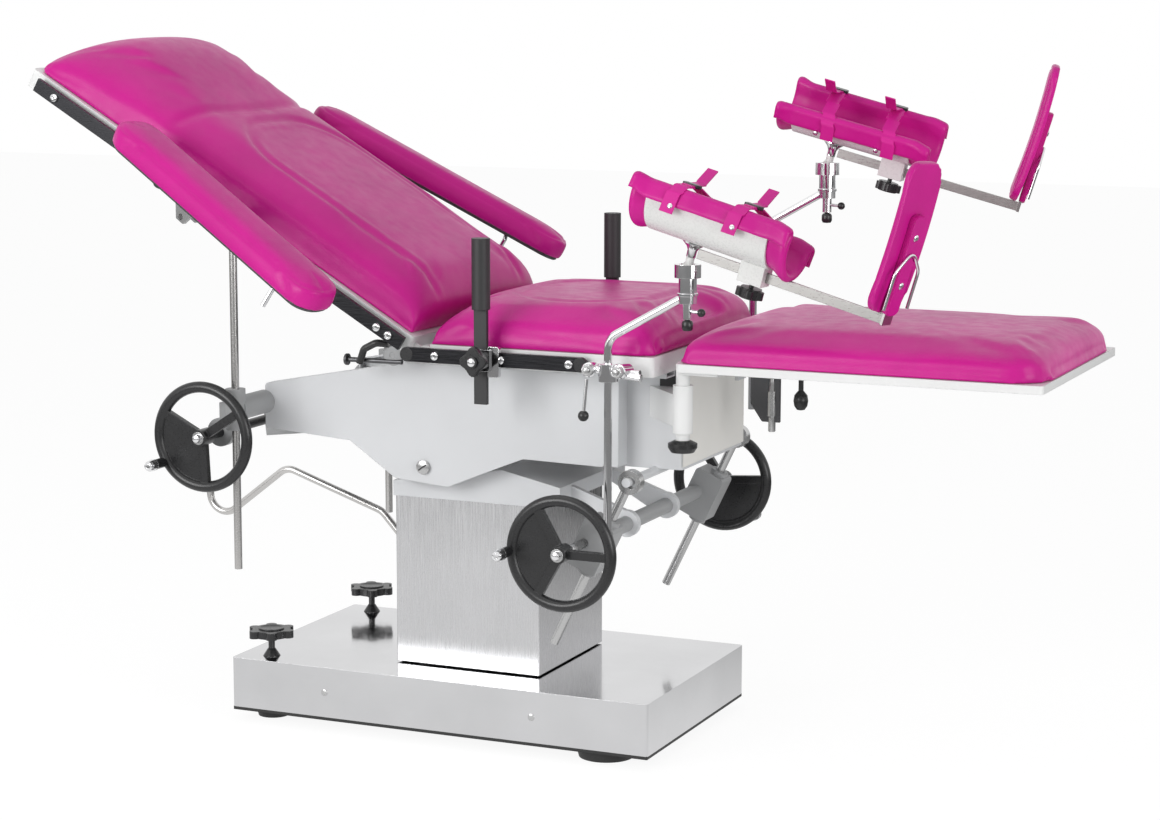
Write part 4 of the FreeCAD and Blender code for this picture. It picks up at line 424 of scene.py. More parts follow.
def bar_along(name, corners, section, finish, body, bend=0.02, place=Matrix()):
    """A bar of a given section outline along a path with rounded bends."""
    path = rounded_path(corners, bend) if len(corners) > 2 else [Vector(point) for point in corners]
    shape = bmesh.new()
    rings = []
    heading = (path[1] - path[0]).normalized()
    side_way = heading.orthogonal().normalized()
    for index, point in enumerate(path):
        ahead = path[min(index + 1, len(path) - 1)]
        behind = path[max(index - 1, 0)]
        new_heading = (ahead - behind).normalized()
        side_way = (side_way - new_heading * side_way.dot(new_heading)).normalized()
        up_way = new_heading.cross(side_way)
        rings.append([shape.verts.new(point + side_way * x + up_way * y) for x, y in section])
    count = len(section)
    for lower, upper in zip(rings, rings[1:]):
        for step in range(count):
            after = (step + 1) % count
            shape.faces.new((lower[step], lower[after], upper[after], upper[step]))
    shape.faces.new(rings[0][::-1])
    shape.faces.new(rings[-1])
    return settle(name, shape, place, finish, body)


def circle(radius, steps=16):
    return [(radius * math.cos(2 * math.pi * step / steps), radius * math.sin(2 * math.pi * step / steps))
            for step in range(steps)]


print("bent bars ready")

# %% [markdown]
# A cushion on this table is foam with leather pulled over it, stapled under a board. Its form is a
# loaf: cross sections with a soft superellipse top, swept along the section it lies on, with the
# width drawn in where the corners are round. A short cloth simulation then blows it up a little, so
# that the sides bulge and the edges pull in, and after that the sewn channels are pressed in.

# %% Cushion form
BOTTOM_STEPS = 10


def ease(value):
    value = max(0.0, min(1.0, value))
    return value * value * (3 - 2 * value)


def loaf(name, stations, across=44):
    """A closed cushion from (along, half width, height, squareness) stations, its bottom at zero."""
    shape = bmesh.new()
    rings = []
    for along, half, height, square in stations:
        ring = []
        for step in range(across + 1):
            angle = math.pi * step / across
            flat = math.copysign(abs(math.cos(angle)) ** (2 / square), math.cos(angle))
            lift = abs(math.sin(angle)) ** (2 / square)
            ring.append(shape.verts.new((along, half * flat, height * lift)))
        for step in range(1, BOTTOM_STEPS):
            ring.append(shape.verts.new((along, half * (2 * step / BOTTOM_STEPS - 1), 0)))
        rings.append(ring)
    count = len(rings[0])
    for lower, upper in zip(rings, rings[1:]):
        for step in range(count):
            after = (step + 1) % count
            shape.faces.new((lower[step], lower[after], upper[after], upper[step]))
    shape.faces.new(rings[0])
    shape.faces.new(rings[-1][::-1])
    bmesh.ops.recalc_face_normals(shape, faces=shape.faces)
    mesh = bpy.data.meshes.new(name)
    shape.to_mesh(mesh)
    shape.free()
    piece = bpy.data.objects.new(name, mesh)
    bpy.context.scene.collection.objects.link(piece)
    return piece


print("cushion form ready")

# %% [markdown]
# Cloth bends evenly only when its cells are even, so the loaf is remeshed to cubes of one size and
# smoothed a little before the simulation.

# %% Even cells
def apply_modifiers(piece):
    """Replace the mesh by what its modifiers make of it."""
    graph = bpy.context.evaluated_depsgraph_get()
    made = bpy.data.meshes.new_from_object(piece.evaluated_get(graph))
    piece.modifiers.clear()
    piece.data = made


def smooth_out(piece, rounds):
    if rounds:
        soften = piece.modifiers.new("soften", "SMOOTH")
        soften.factor = 0.5
        soften.iterations = rounds
        apply_modifiers(piece)


def remeshed(piece, cell):
    grid = piece.modifiers.new("even_cells", "REMESH")
    grid.mode = "VOXEL"
    grid.voxel_size = cell
    apply_modifiers(piece)


print("cushion helpers ready")

# %% [markdown]
# The simulation is Blender's cloth with pressure inside and gravity off. The underside is pinned,
# as it is to the board. The result is deterministic, and each point's travel is capped so that the
# pad stays close to the solid that MuJoCo collides with.

# %% Blow up a cushion
def blown_up(piece, pressure, cap, pinned_below):
    """Run the cloth for twenty frames, cap how far each point moves and keep the shape."""
    before = [vertex.co.copy() for vertex in piece.data.vertices]
    pins = piece.vertex_groups.new(name="stapled_edge")
    pins.add([vertex.index for vertex in piece.data.vertices if vertex.co.z < pinned_below], 1.0, "ADD")
    cloth = piece.modifiers.new("cover", "CLOTH")
    cloth.settings.use_pressure = True
    cloth.settings.uniform_pressure_force = pressure
    cloth.settings.vertex_group_mass = pins.name
    cloth.settings.quality = 5
    cloth.settings.mass = 0.25
    cloth.settings.tension_stiffness = 12
    cloth.settings.compression_stiffness = 12
    cloth.settings.bending_stiffness = 1.5
    cloth.settings.effector_weights.gravity = 0
    cloth.collision_settings.use_collision = False
    cloth.point_cache.frame_start = 1
    cloth.point_cache.frame_end = 20
    scene = bpy.context.scene
    for frame_number in range(1, 21):
        scene.frame_set(frame_number)
    apply_modifiers(piece)
    scene.frame_set(1)
    moved = 0.0
    for vertex, old in zip(piece.data.vertices, before):
        step = vertex.co - old
        if step.length > cap:
            vertex.co = old + step * (cap / step.length)
        moved = max(moved, (vertex.co - old).length)
    piece.vertex_groups.clear()
    print(piece.name, "cover moved by up to", round(moved * 1000, 1), "mm")


print("simulation ready")

# %% [markdown]
# Every cushion goes through the same steps, and then takes the place of its CAD solid. Outlines are
# drawn in by a round corner, and channels are pressed in by a soft groove.

# %% Make a cushion
def make_cushion(name, stations, press, place, node, body, cell=0.008, pressure=4.0, cap=0.006,
                 finish=None, soften=4):
    """Loaf, even cells, simulation, one subdivision, pressed channels, then into place."""
    piece = loaf(name, stations)
    remeshed(piece, cell)
    smooth_out(piece, soften)
    blown_up(piece, pressure, cap, cell * 0.6)
    finer = piece.modifiers.new("finer", "SUBSURF")
    finer.levels = finer.render_levels = 1
    apply_modifiers(piece)
    for vertex in piece.data.vertices:
        vertex.co = press(vertex.co)
    piece.data.transform(place)
    piece.data.materials.clear()
    piece.data.materials.append(finish or magenta)
    piece.data.polygons.foreach_set("use_smooth", [True] * len(piece.data.polygons))
    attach(piece, body)
    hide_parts(node)
    print(name, len(piece.data.polygons), "faces")


def round_end(distance, radius):
    """How far a round corner draws the side in, at a distance from the end."""
    inside = max(0.0, radius - distance)
    return radius - math.sqrt(max(0.0, radius * radius - inside * inside))


def spaced(start, stop, count):
    """Stations closer together near both ends."""
    return [start + (stop - start) * (1 - math.cos(math.pi * step / count)) / 2
            for step in range(count + 1)]


def groove(distance, width):
    """A soft channel: 1 in its middle and 0 beyond its width."""
    return math.exp(-(distance / width) ** 2)


def round_frame(x, y, half_x, half_y, corner):
    """Distance from a rectangle with round corners, negative inside."""
    away_x = abs(x) - half_x + corner
    away_y = abs(y) - half_y + corner
    outside = math.hypot(max(away_x, 0.0), max(away_y, 0.0))
    return outside + min(max(away_x, away_y), 0.0) - corner


print("cushion maker ready")

# %% [markdown]
# The back cushion is one upholstered piece. Its head end rises into a rounded pillow whose sides
# fall away softly, a sewn crease crosses below the pillow, and a long panel with a round upper end
# is pressed into the part under it.

# %% Back cushion
seat_pan_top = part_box("seat_pan")[1].z
back_rise = seat_pan_top - pivot("back_lift").z
BACK_FOOT, BACK_HEAD = 0.029, 0.925
BACK_HALF = 0.256
BACK_THICK, PILLOW_THICK = 0.088, 0.112
PILLOW_START, PILLOW_CREST = 0.60, 0.79
CREASE_AT = 0.635
PANEL_HEAD, PANEL_HALF, PANEL_ROUND = 0.575, 0.172, 0.13


def back_stations():
    rows = []
    for up in spaced(BACK_FOOT, BACK_HEAD, 64):
        pillow = ease((up - PILLOW_START) / (PILLOW_CREST - PILLOW_START))
        height = BACK_THICK + (PILLOW_THICK - BACK_THICK) * pillow
        head = max(0.0, (up - PILLOW_CREST + 0.03) / (BACK_HEAD - PILLOW_CREST + 0.03))
        height *= (1 - head ** 2.6) ** (1 / 2.2) * 0.94 + 0.06
        foot = min(1.0, (up - BACK_FOOT) / 0.085)
        height *= 0.10 + 0.90 * (1 - (1 - foot) ** 2.2) ** (1 / 2.2)
        half = BACK_HALF - round_end(BACK_HEAD - up, 0.03) * 0.7
        rows.append((-up, half, height, 4.6 - 1.9 * pillow))
    return rows


def press_back(point):
    up, side = -point.x, point.y
    top = ease((point.z - 0.045) / 0.03)
    middle = (BACK_FOOT - 0.12 + PANEL_HEAD) / 2
    panel = round_frame(up - middle, side, PANEL_HEAD - middle, PANEL_HALF, PANEL_ROUND)
    drop = 0.0055 * groove(panel, 0.011) + 0.0045 * ease(-panel / 0.03)
    bow = 0.02 * (1 - (side / BACK_HALF) ** 2)
    drop += 0.005 * groove(up - CREASE_AT + bow, 0.012)
    return Vector((point.x, side, point.z - drop * top))


make_cushion("back_upholstery", back_stations(), press_back,
             back_place @ Matrix.Translation((0, 0, back_rise)), "back_cushion", "back",
             cell=0.009, cap=0.006)

# %% [markdown]
# The seat cushion is crowned. A shallow round dish is pressed into it, and at the foot end the pad
# dips in the middle, which leaves a soft lobe at each corner.

# %% Seat cushion
seat_low, seat_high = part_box("seat_cushion")
SEAT_LONG = seat_high.x - seat_low.x
SEAT_HALF = (seat_high.y - seat_low.y) / 2
SEAT_THICK = seat_high.z - seat_low.z
SEAT_CROWN = 0.007


def seat_stations():
    rows = []
    for along in spaced(0.0, SEAT_LONG, 44):
        head = min(1.0, along / 0.075)
        foot = min(1.0, (SEAT_LONG - along) / 0.05)
        height = SEAT_THICK * (0.14 + 0.86 * (1 - (1 - head) ** 2.0) ** 0.5)
        height *= 0.30 + 0.70 * (1 - (1 - foot) ** 2.4) ** (1 / 2.4)
        half = SEAT_HALF - round_end(SEAT_LONG - along, 0.03) * 0.8
        rows.append((along, half, height, 4.4))
    return rows


def press_seat(point):
    along, side = point.x, point.y
    top = ease((point.z - 0.03) / 0.03)
    crown = SEAT_CROWN * (1 - (side / SEAT_HALF) ** 2) * math.sin(math.pi * along / SEAT_LONG)
    dish = round_frame(along - 0.215, side, 0.125, 0.165, 0.12)
    drop = 0.005 * groove(dish, 0.012) + 0.004 * ease(-dish / 0.03)
    dip = round_frame(along - SEAT_LONG - 0.02, side, 0.10, 0.135, 0.09)
    drop += 0.020 * ease(-dip / 0.05) + 0.004 * groove(dip, 0.012)
    return Vector((along, side, point.z + (crown - drop) * top))


seat_place = Matrix.Translation((seat_low.x, 0, seat_low.z))
make_cushion("seat_upholstery", seat_stations(), press_seat, seat_place, "seat_cushion", "table",
             cell=0.008, cap=0.006)

# %% [markdown]
# The leg cushion is a plain plank with full edges, rounder at the foot end corners.

# %% Leg cushion
leg_low, leg_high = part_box("leg_cushion")
LEG_LONG = leg_high.x - leg_low.x
LEG_HALF = (leg_high.y - leg_low.y) / 2
LEG_THICK = leg_high.z - leg_low.z


def leg_stations():
    rows = []
    for along in spaced(0.0, LEG_LONG, 52):
        head = min(1.0, along / 0.035)
        foot = min(1.0, (LEG_LONG - along) / 0.045)
        height = LEG_THICK * (0.35 + 0.65 * (1 - (1 - head) ** 2.2) ** (1 / 2.2))
        height *= 0.35 + 0.65 * (1 - (1 - foot) ** 2.2) ** (1 / 2.2)
        half = LEG_HALF - round_end(LEG_LONG - along, 0.06) - round_end(along, 0.025) * 0.6
        rows.append((along, half, height, 5.0))
    return rows


def press_leg(point):
    crown = 0.004 * (1 - (point.y / LEG_HALF) ** 2) * math.sin(math.pi * point.x / LEG_LONG)
    return Vector((point.x, point.y, point.z + crown * ease((point.z - 0.03) / 0.02)))


make_cushion("leg_upholstery", leg_stations(), press_leg,
             Matrix.Translation((leg_low.x, 0, leg_low.z)), "leg_cushion", "leg",
             cell=0.008, cap=0.006)

# %% [markdown]
# Each armrest pad is a padded board with round ends, on a steel plate with two lugs that turn on
# the pin of the post. A seam runs all round its upper edge.

# %% Armrest pads
ARM_LONG, ARM_WIDE, ARM_THICK = 0.572, 0.092, 0.040
ARM_REACH, ARM_OUT, ARM_DROP, ARM_BOARD = 0.214, 0.102, 0.028, 0.006


def arm_stations():
    rows = []
    for along in spaced(0.0, ARM_LONG, 56):
        near_end = min(along, ARM_LONG - along)
        half = ARM_WIDE / 2 - round_end(near_end, 0.042)
        edge = min(1.0, near_end / 0.016)
        height = ARM_THICK * (0.55 + 0.45 * (1 - (1 - edge) ** 2) ** 0.5)
        rows.append((along, max(0.004, half), height, 5.5))
    return rows


def press_arm(point):
    rim = round_frame(point.x - ARM_LONG / 2, point.y, ARM_LONG / 2, ARM_WIDE / 2, 0.042)
    top = ease((point.z - 0.02) / 0.015)
    crown = 0.003 * ease(-rim / 0.04)
    return Vector((point.x, point.y, point.z + (crown - 0.002 * groove(rim + 0.009, 0.003)) * top))


print("armrest form ready")

# %% [markdown]
# Under the pad a steel board carries two lugs on the pin of the post. A thin lever and a small knob
# lock the slope.

# %% Armrests with their fittings
LUG_SPOTS, LUG_THICK, LUG_HALF_BREADTH = (-0.018, 0.010), 0.008, 0.030
LUG_FOOT, LUG_FOOT_DOWN = 0.010, 0.009
BOARD_INSET = 0.012
ARM_LEVER_ALONG, ARM_KNOB_BACK, ARM_KNOB_DOWN = 0.24, 0.088, 0.022


def make_arm_rest(name, side):
    """The pad, its plate, the lugs on the pin and the clamp lever with its small knob."""
    place = arm_places[name]
    body = f"{name}_armrest_pad"
    corner = Matrix.Translation((-ARM_REACH, side * ARM_OUT, ARM_DROP + ARM_BOARD))
    make_cushion(f"{name}_arm_upholstery", arm_stations(), press_arm, place @ corner,
                 f"{name}_armrest_pad", body, cell=0.005, cap=0.004)
    board = Matrix.Translation((ARM_LONG / 2 - ARM_REACH, side * ARM_OUT, ARM_DROP))
    cut_plate(f"{name}_arm_board", rounded_outline(ARM_LONG - BOARD_INSET, ARM_WIDE - BOARD_INSET, 0.036),
              ARM_BOARD, place @ board, dark_steel, body, 0.0015)
    for index, spot in enumerate(LUG_SPOTS):
        middle = side * ARM_OUT + spot
        outline = [(-LUG_FOOT, -LUG_FOOT_DOWN), (LUG_FOOT, -LUG_FOOT_DOWN),
                   (LUG_HALF_BREADTH, ARM_DROP), (-LUG_HALF_BREADTH, ARM_DROP)]
        upright = place @ Matrix.Translation((0, middle + LUG_THICK, 0)) @ Matrix.Rotation(
            math.radians(90), 4, "X")
        cut_plate(f"{name}_arm_lug_{index}", outline, LUG_THICK, upright, ground_steel, body,
                  0.001)
    lever_foot = place @ Vector((ARM_LEVER_ALONG, side * ARM_OUT, ARM_DROP - 0.002))
    bar_along(f"{name}_arm_lever", [lever_foot, lever_foot + Vector((-0.002, -0.004, -0.012)),
                                    lever_foot + Vector((-0.022, -0.012, -0.048))],
              circle(0.0045), chrome, body, 0.006)
    knob = place @ Matrix.Translation((-ARM_KNOB_BACK, side * ARM_OUT, ARM_DROP - ARM_KNOB_DOWN))
    spun(f"{name}_arm_knob", [(0, 0), (0.011, 0.001), (0.014, 0.005), (0.014, 0.014),
                              (0.008, 0.017), (0.006, 0.022), (0, 0.022)], knob, black_plastic,
         body)


for side_name, side in SIDES:
    make_arm_rest(side_name, side)
print("armrests made")

# %% [markdown]
# A leg rest is a white shell on a stem, lined with padded leather. The lining lies in the shell,
# rolls over both rims and hangs down outside as a loose flap. Its cross section is one bent middle
# line with a thickness, swept along the shell. Past the shell's head end it flares into a lip, and
# past the foot end it swells and droops.

# %% Section of the linings
TROUGH_UP = 0.100
LINING_START, LINING_END = -0.108, 0.185
SHELL_START, SHELL_END = -0.078, 0.147
LINING_MIDDLE, LINING_HALF_THICK = 0.0473, 0.0042
ROLL_AT, ROLL_UP, ROLL_RADIUS = 0.0543, 0.006, 0.0070
FLAP_LONG = 0.025


def trough_place(name, side):
    """The trough's own axis: along X, its open side up, rolled towards the middle plane."""
    return rest_places[name] @ Matrix.Translation((0, 0, TROUGH_UP)) @ Matrix.Rotation(
        math.radians(side * REST_ROLL), 4, "X")


def lining_across(flap):
    """Half of the lining's cross section from its lowest point to the flap's tip: (y, z, half
    thickness, how far down the flap)."""
    points = []
    for step in range(15):
        angle = math.pi / 2 * step / 14
        points.append((LINING_MIDDLE * math.sin(angle), -LINING_MIDDLE * math.cos(angle),
                       LINING_HALF_THICK, 0.0))
    for step in range(12):
        angle = math.pi * (1 - step / 11)
        points.append((ROLL_AT + ROLL_RADIUS * math.cos(angle), ROLL_UP + ROLL_RADIUS * math.sin(angle),
                       0.0031, 0.0))
    for step in range(1, 10):
        down = step / 9
        points.append((ROLL_AT + ROLL_RADIUS, ROLL_UP - flap * down,
                       0.0027 * (1 - down ** 8) ** 0.5 + 0.0002, down))
    return points


print("lining section ready")

# %% [markdown]
# Each cross section is turned into an inner and an outer line, half a thickness to either side of
# the middle line, and the closed rings are joined along the shell. The flaps get a slight wave,
# because loose leather never hangs flat.

# %% Sweep the linings
def make_lining(name, side):
    shape = bmesh.new()
    place = trough_place(name, side)
    rings = []
    for along in spaced(LINING_START, LINING_END, 72):
        before = ease((SHELL_START + 0.004 - along) / 0.030)
        past = ease((along - SHELL_END + 0.008) / 0.042)
        right = lining_across(FLAP_LONG * (1 - 0.35 * before - 0.2 * past))
        whole = [(-y, z, thick, down) for y, z, thick, down in right[:0:-1]] + right
        grown = 1 + 0.13 * before + 0.06 * past
        end = min(along - LINING_START, LINING_END - along)
        full = max(0.06, (1 - (1 - min(1.0, end / 0.010)) ** 2) ** 0.5)
        middle = []
        for y, z, thick, down in whole:
            wave = down * (0.0016 * math.sin(along * 74 + (1.3 if y > 0 else 0.0))
                           + 0.0010 * math.sin(along * 131))
            y = y * grown + math.copysign(wave + 0.0012 * down, y)
            thick = thick * (1 + 0.45 * before * (1 - down) + 1.0 * past * (1 - down)) * full
            middle.append((y, z * grown - 0.008 * past ** 2, thick))
        sides = ([], [])
        for index, (y, z, thick) in enumerate(middle):
            ahead = middle[min(index + 1, len(middle) - 1)]
            behind = middle[max(index - 1, 0)]
            run = Vector((ahead[0] - behind[0], ahead[1] - behind[1])).normalized()
            for layer, level in ((0, 1), (1, -1)):
                sides[layer].append(shape.verts.new((along, y + run.y * thick * level,
                                                     z - run.x * thick * level)))
        rings.append(sides[0] + sides[1][::-1])
    count = len(rings[0])
    for lower, upper in zip(rings, rings[1:]):
        for step in range(count):
            after = (step + 1) % count
            shape.faces.new((lower[step], lower[after], upper[after], upper[step]))
    shape.faces.new(rings[0])
    shape.faces.new(rings[-1][::-1])
    lining = settle(f"{name}_rest_lining", shape, place, magenta, f"{name}_leg_rest",
                    70)
    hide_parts(f"{name}_leg_calf_pad")


for side_name, side in SIDES:
    make_lining(side_name, side)
print("linings made")

# %% [markdown]
# A strap is a flat band. Its path is drawn in the cross plane of the trough, and the band may lean
# along the trough as it goes over.

# %% Flat bands
STRAP_WIDE, STRAP_THICK = 0.024, 0.0022


def band(name, points, wide, thick, place, finish, body, lean=0.0):
    """A flat band through points in the trough's cross plane, its width along the trough."""
    path = rounded_path([(0, y, z) for y, z in points], 0.008, 6)
    shape = bmesh.new()
    rings = []
    for index, point in enumerate(path):
        ahead = path[min(index + 1, len(path) - 1)]
        behind = path[max(index - 1, 0)]
        heading = (ahead - behind).normalized()
        outward = Vector((0, heading.z, -heading.y))
        shift = lean * index / len(path)
        corners = ((-wide / 2, 1), (wide / 2, 1), (wide / 2, -1), (-wide / 2, -1))
        rings.append([shape.verts.new(point + outward * (thick / 2 * level)
                                      + Vector((across + shift, 0, 0))) for across, level in corners])
    for lower, upper in zip(rings, rings[1:]):
        for step in range(4):
            after = (step + 1) % 4
            shape.faces.new((lower[step], lower[after], upper[after], upper[step]))
    shape.faces.new(rings[0])
    shape.faces.new(rings[-1][::-1])
    return settle(name, shape, place, finish, body, 50)


print("bands ready")

# %% [markdown]
# Two straps cross each trough. Each is riveted outside both rims over the lining's flaps, arches
# over the opening, passes through a small plastic buckle and ends in a free tongue that sticks up.

# %% Straps and buckles
STRAP_SPOTS = (-0.030, 0.085)
STRAP_LEAN, TONGUE_LEAN = 0.026, -0.006
STRAP_RIVET_OUT, STRAP_RIVET_DOWN = 0.0683, 0.020


def make_straps(name, outer):
    body = f"{name}_leg_rest"
    for index, spot in enumerate(STRAP_SPOTS):
        place = trough_place(name, outer) @ Matrix.Translation((spot, 0, 0))
        over = [(outer * 0.0672, -0.032), (outer * 0.0674, 0.004), (outer * 0.0580, 0.0195),
                (outer * 0.020, 0.030), (-outer * 0.024, 0.027), (-outer * 0.0560, 0.0185),
                (-outer * 0.0674, 0.002), (-outer * 0.0672, -0.028)]
        band(f"{name}_strap_{index}", over, STRAP_WIDE, STRAP_THICK, place, magenta_strap, body,
             STRAP_LEAN)
        tongue = [(outer * 0.050, 0.0235), (outer * 0.016, 0.0335), (-outer * 0.010, 0.042),
                  (-outer * 0.036, 0.074)]
        band(f"{name}_strap_tongue_{index}", tongue, STRAP_WIDE * 0.8, STRAP_THICK,
             place @ Matrix.Translation((0.010, 0, 0)), magenta_strap, body,
             TONGUE_LEAN)
        buckle = place @ Matrix.Translation((0.010, outer * 0.030, 0.0262)) @ Matrix.Rotation(
            math.radians(-outer * 15), 4, "X")
        cut_plate(f"{name}_buckle_{index}", rounded_outline(0.031, 0.017, 0.004), 0.0060, buckle,
                  black_plastic, body, 0.0012)
        for rivet_side in (-1, 1):
            seat_of_rivet = place @ Matrix.Translation(
                (0.004, rivet_side * STRAP_RIVET_OUT, -STRAP_RIVET_DOWN))
            outward = seat_of_rivet @ Matrix.Rotation(math.radians(-rivet_side * 90), 4, "X")
            spun(f"{name}_strap_rivet_{index}_{(rivet_side + 1) // 2}",
                 [(0.0045, -0.002), (0.0045, 0.0006), (0.003, 0.0016), (0, 0.002)], outward, chrome,
                 body, 20)


for side_name, side in SIDES:
    make_straps(side_name, side)
print("straps made")

# %% [markdown]
# The stem under each shell is chromed and widens into a neck where it meets the shell. The CAD
# stem has the shell's white finish, so the neck is a thin turned sleeve that covers it.

# %% Necks under the shells
STEM_LONG, STEM_RADIUS = 0.044, 0.007


def make_neck(name):
    place = rest_places[name]
    profile = [(STEM_RADIUS + 0.0003, 0.0195), (STEM_RADIUS + 0.0010, 0.020),
               (STEM_RADIUS + 0.0010, 0.031), (STEM_RADIUS + 0.004, 0.037),
               (STEM_RADIUS + 0.012, STEM_LONG), (STEM_RADIUS + 0.012, STEM_LONG + 0.003)]
    spun(f"{name}_stem_neck", profile, place, chrome, f"{name}_leg_rest")


for side_name, side in SIDES:
    make_neck(side_name)
print("necks made")

# %% [markdown]
# A foot pad stands at the end of each foot bar: a thin padded sole, slightly hollow towards the
# foot. Its place is worked out from the end of the bar.

# %% Foot pads
SOLE_LONG, SOLE_WIDE, SOLE_THICK, SOLE_GAP = 0.250, 0.096, 0.016, 0.010
SOLE_LEAN, SOLE_SPLAY = 17.0, 10.0
BAR_END, BAR_UP = 0.354, 0.029


def sole_place(name, side):
    """Origin at the end of the foot bar, Z up along the sole, -X towards the patient."""
    lean = Matrix.Rotation(math.radians(SOLE_LEAN - REST_SLOPE), 4, "Y")
    splay = Matrix.Rotation(math.radians(side * SOLE_SPLAY), 4, "Z")
    return rest_places[name] @ Matrix.Translation((BAR_END, 0, BAR_UP)) @ lean @ splay


def sole_stations():
    rows = []
    for along in spaced(0.0, SOLE_LONG, 40):
        near_end = min(along, SOLE_LONG - along)
        half = SOLE_WIDE / 2 - round_end(near_end, 0.030)
        edge = min(1.0, near_end / 0.006)
        rows.append((along, half, SOLE_THICK * (0.5 + 0.5 * (1 - (1 - edge) ** 2) ** 0.5), 5.0))
    return rows


def press_sole(point):
    hollow = 0.006 * (2 * point.x / SOLE_LONG - 1) ** 2
    rim = round_frame(point.x - SOLE_LONG / 2, point.y, SOLE_LONG / 2, SOLE_WIDE / 2, 0.030)
    seam = 0.0015 * groove(rim + 0.010, 0.0025) * ease((point.z - 0.008) / 0.004)
    return Vector((point.x, point.y, point.z + hollow - seam))


print("sole form ready")

# %% [markdown]
# Behind the sole a padded sleeve covers the strip that carries it, two bolts hold both, and a bent
# chrome wire stiffens the lower half.

# %% Soles with their fittings
SLEEVE_LONG, SLEEVE_WIDE, SLEEVE_THICK, SLEEVE_MIDDLE = 0.168, 0.036, 0.0105, 0.093
WIRE_OUT, WIRE_SHARE, WIRE_LOW = 0.0125, 0.36, 0.022
WIRE_SHOULDER, WIRE_TOP = 0.34, 0.48
SOLE_BOLT_HEIGHTS, SOLE_BOLT_OUT = (0.060, 0.140), 0.0095


def make_sole(name, side):
    place = sole_place(name, side)
    flat_to_upright = Matrix(((0, 0, -1, 0), (0, 1, 0, 0), (1, 0, 0, SOLE_GAP), (0, 0, 0, 1)))
    body = f"{name}_leg_foot_bar"
    make_cushion(f"{name}_sole_upholstery", sole_stations(), press_sole, place @ flat_to_upright,
                 f"{name}_leg_foot_pad", body, cell=0.004, cap=0.0015, soften=2)
    sleeve = place @ Matrix(((0, 0, 1, -0.0008), (0, -1, 0, 0), (1, 0, 0, SLEEVE_MIDDLE), (0, 0, 0, 1)))
    cut_plate(f"{name}_sole_sleeve", rounded_outline(SLEEVE_LONG, SLEEVE_WIDE, 0.012), SLEEVE_THICK,
              sleeve, magenta, body, 0.003)
    half = SOLE_WIDE * WIRE_SHARE
    shoulder, top = SOLE_LONG * WIRE_SHOULDER, SOLE_LONG * WIRE_TOP
    corners = [(WIRE_OUT, -half, WIRE_LOW), (WIRE_OUT, -half, shoulder), (WIRE_OUT, 0, top),
               (WIRE_OUT, half, shoulder), (WIRE_OUT, half, WIRE_LOW)]
    bar_along(f"{name}_sole_wire", corners, circle(0.0028, 12), chrome, body, 0.02, place)
    for index, height in enumerate(SOLE_BOLT_HEIGHTS):
        bolt = place @ Matrix.Translation((SOLE_BOLT_OUT, 0, height)) @ Matrix.Rotation(
            math.radians(90), 4, "Y")
        spun(f"{name}_sole_bolt_{index}", [(0.006, -0.0005), (0.006, 0.001), (0.004, 0.0028), (0, 0.003)],
             bolt, chrome, body, 20)


for side_name, side in SIDES:
    make_sole(side_name, side)
print("foot pads made")

# %% [markdown]
# Handwheels have a chromed nut on the hub, and their crank handles end in a bright cap with a ring.

# %% Wheel fittings
def hub_nut(name, place, body):
    cut_plate(f"{name}_washer", circle(0.0115, 28), 0.0015, place, ground_steel, body,
              0.0003)
    spun(f"{name}_cap", [(0.0078, 0.001), (0.0078, 0.006), (0.0066, 0.0085), (0.003, 0.0100),
                         (0, 0.0103)], place, chrome, body, 28)


def crank_cap(name, body, node):
    """The bright end of a crank handle, on the end of its CAD solid."""
    low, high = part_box(node)
    middle = (low + high) / 2
    outward = -1 if middle.y < 0 else 1
    end = Vector((middle.x, low.y if outward < 0 else high.y, middle.z))
    place = facing(end + Vector((0, -outward * 0.004, 0)), (0, outward, 0))
    spun(f"{name}_end", [(0.0096, -0.010), (0.0100, -0.006), (0.0098, 0.0), (0.0080, 0.0055),
                         (0.0042, 0.0075), (0.0040, 0.0062), (0, 0.0060)], place, chrome, body,
         32)
    spun(f"{name}_ring", [(0.0100, -0.0145), (0.0104, -0.0135), (0.0104, -0.0120), (0.0100, -0.0110)],
         place, chrome, body, 32)


tilt_hub = pivot("tilt_wheel_turn")
lift_hub = pivot("back_wheel_turn")
HUB_FACE, TILT_WHEEL_Y, BACK_WHEEL_Y = 0.017, 0.380, 0.336
for side_name, side in SIDES:
    hub_nut(f"{side_name}_tilt_hub",
            facing(Vector((tilt_hub.x, side * (TILT_WHEEL_Y + HUB_FACE), tilt_hub.z)), (0, side, 0)),
            "tilt_wheels")
    crank_cap(f"{side_name}_tilt_crank", f"{side_name}_crank_handle", f"{side_name}_crank_handle")
hub_nut("back_hub", facing(Vector((lift_hub.x, -BACK_WHEEL_Y - HUB_FACE, lift_hub.z)), (0, -1, 0)),
        "back_wheel")
crank_cap("back_crank", "back_crank_handle", "back_crank_handle")


print("hub nuts and crank caps made")

# %% [markdown]
# The tilt wheels and their shaft are one black CAD piece, but the real shaft is steel, so a thin
# sleeve covers it between each gearbox and its wheel.

# %% Shaft sleeves
SHAFT_RADIUS, SHAFT_END_GAP = 0.008, 0.0005


def shaft_sleeve(name, x, z, start, stop, radius, body):
    place = facing(Vector((x, start, z)), (0, 1, 0))
    long = stop - start
    spun(name, [(radius, 0), (radius + 0.0004, 0.0005), (radius + 0.0004, long - 0.0005), (radius, long)],
         place, ground_steel, body, 28)


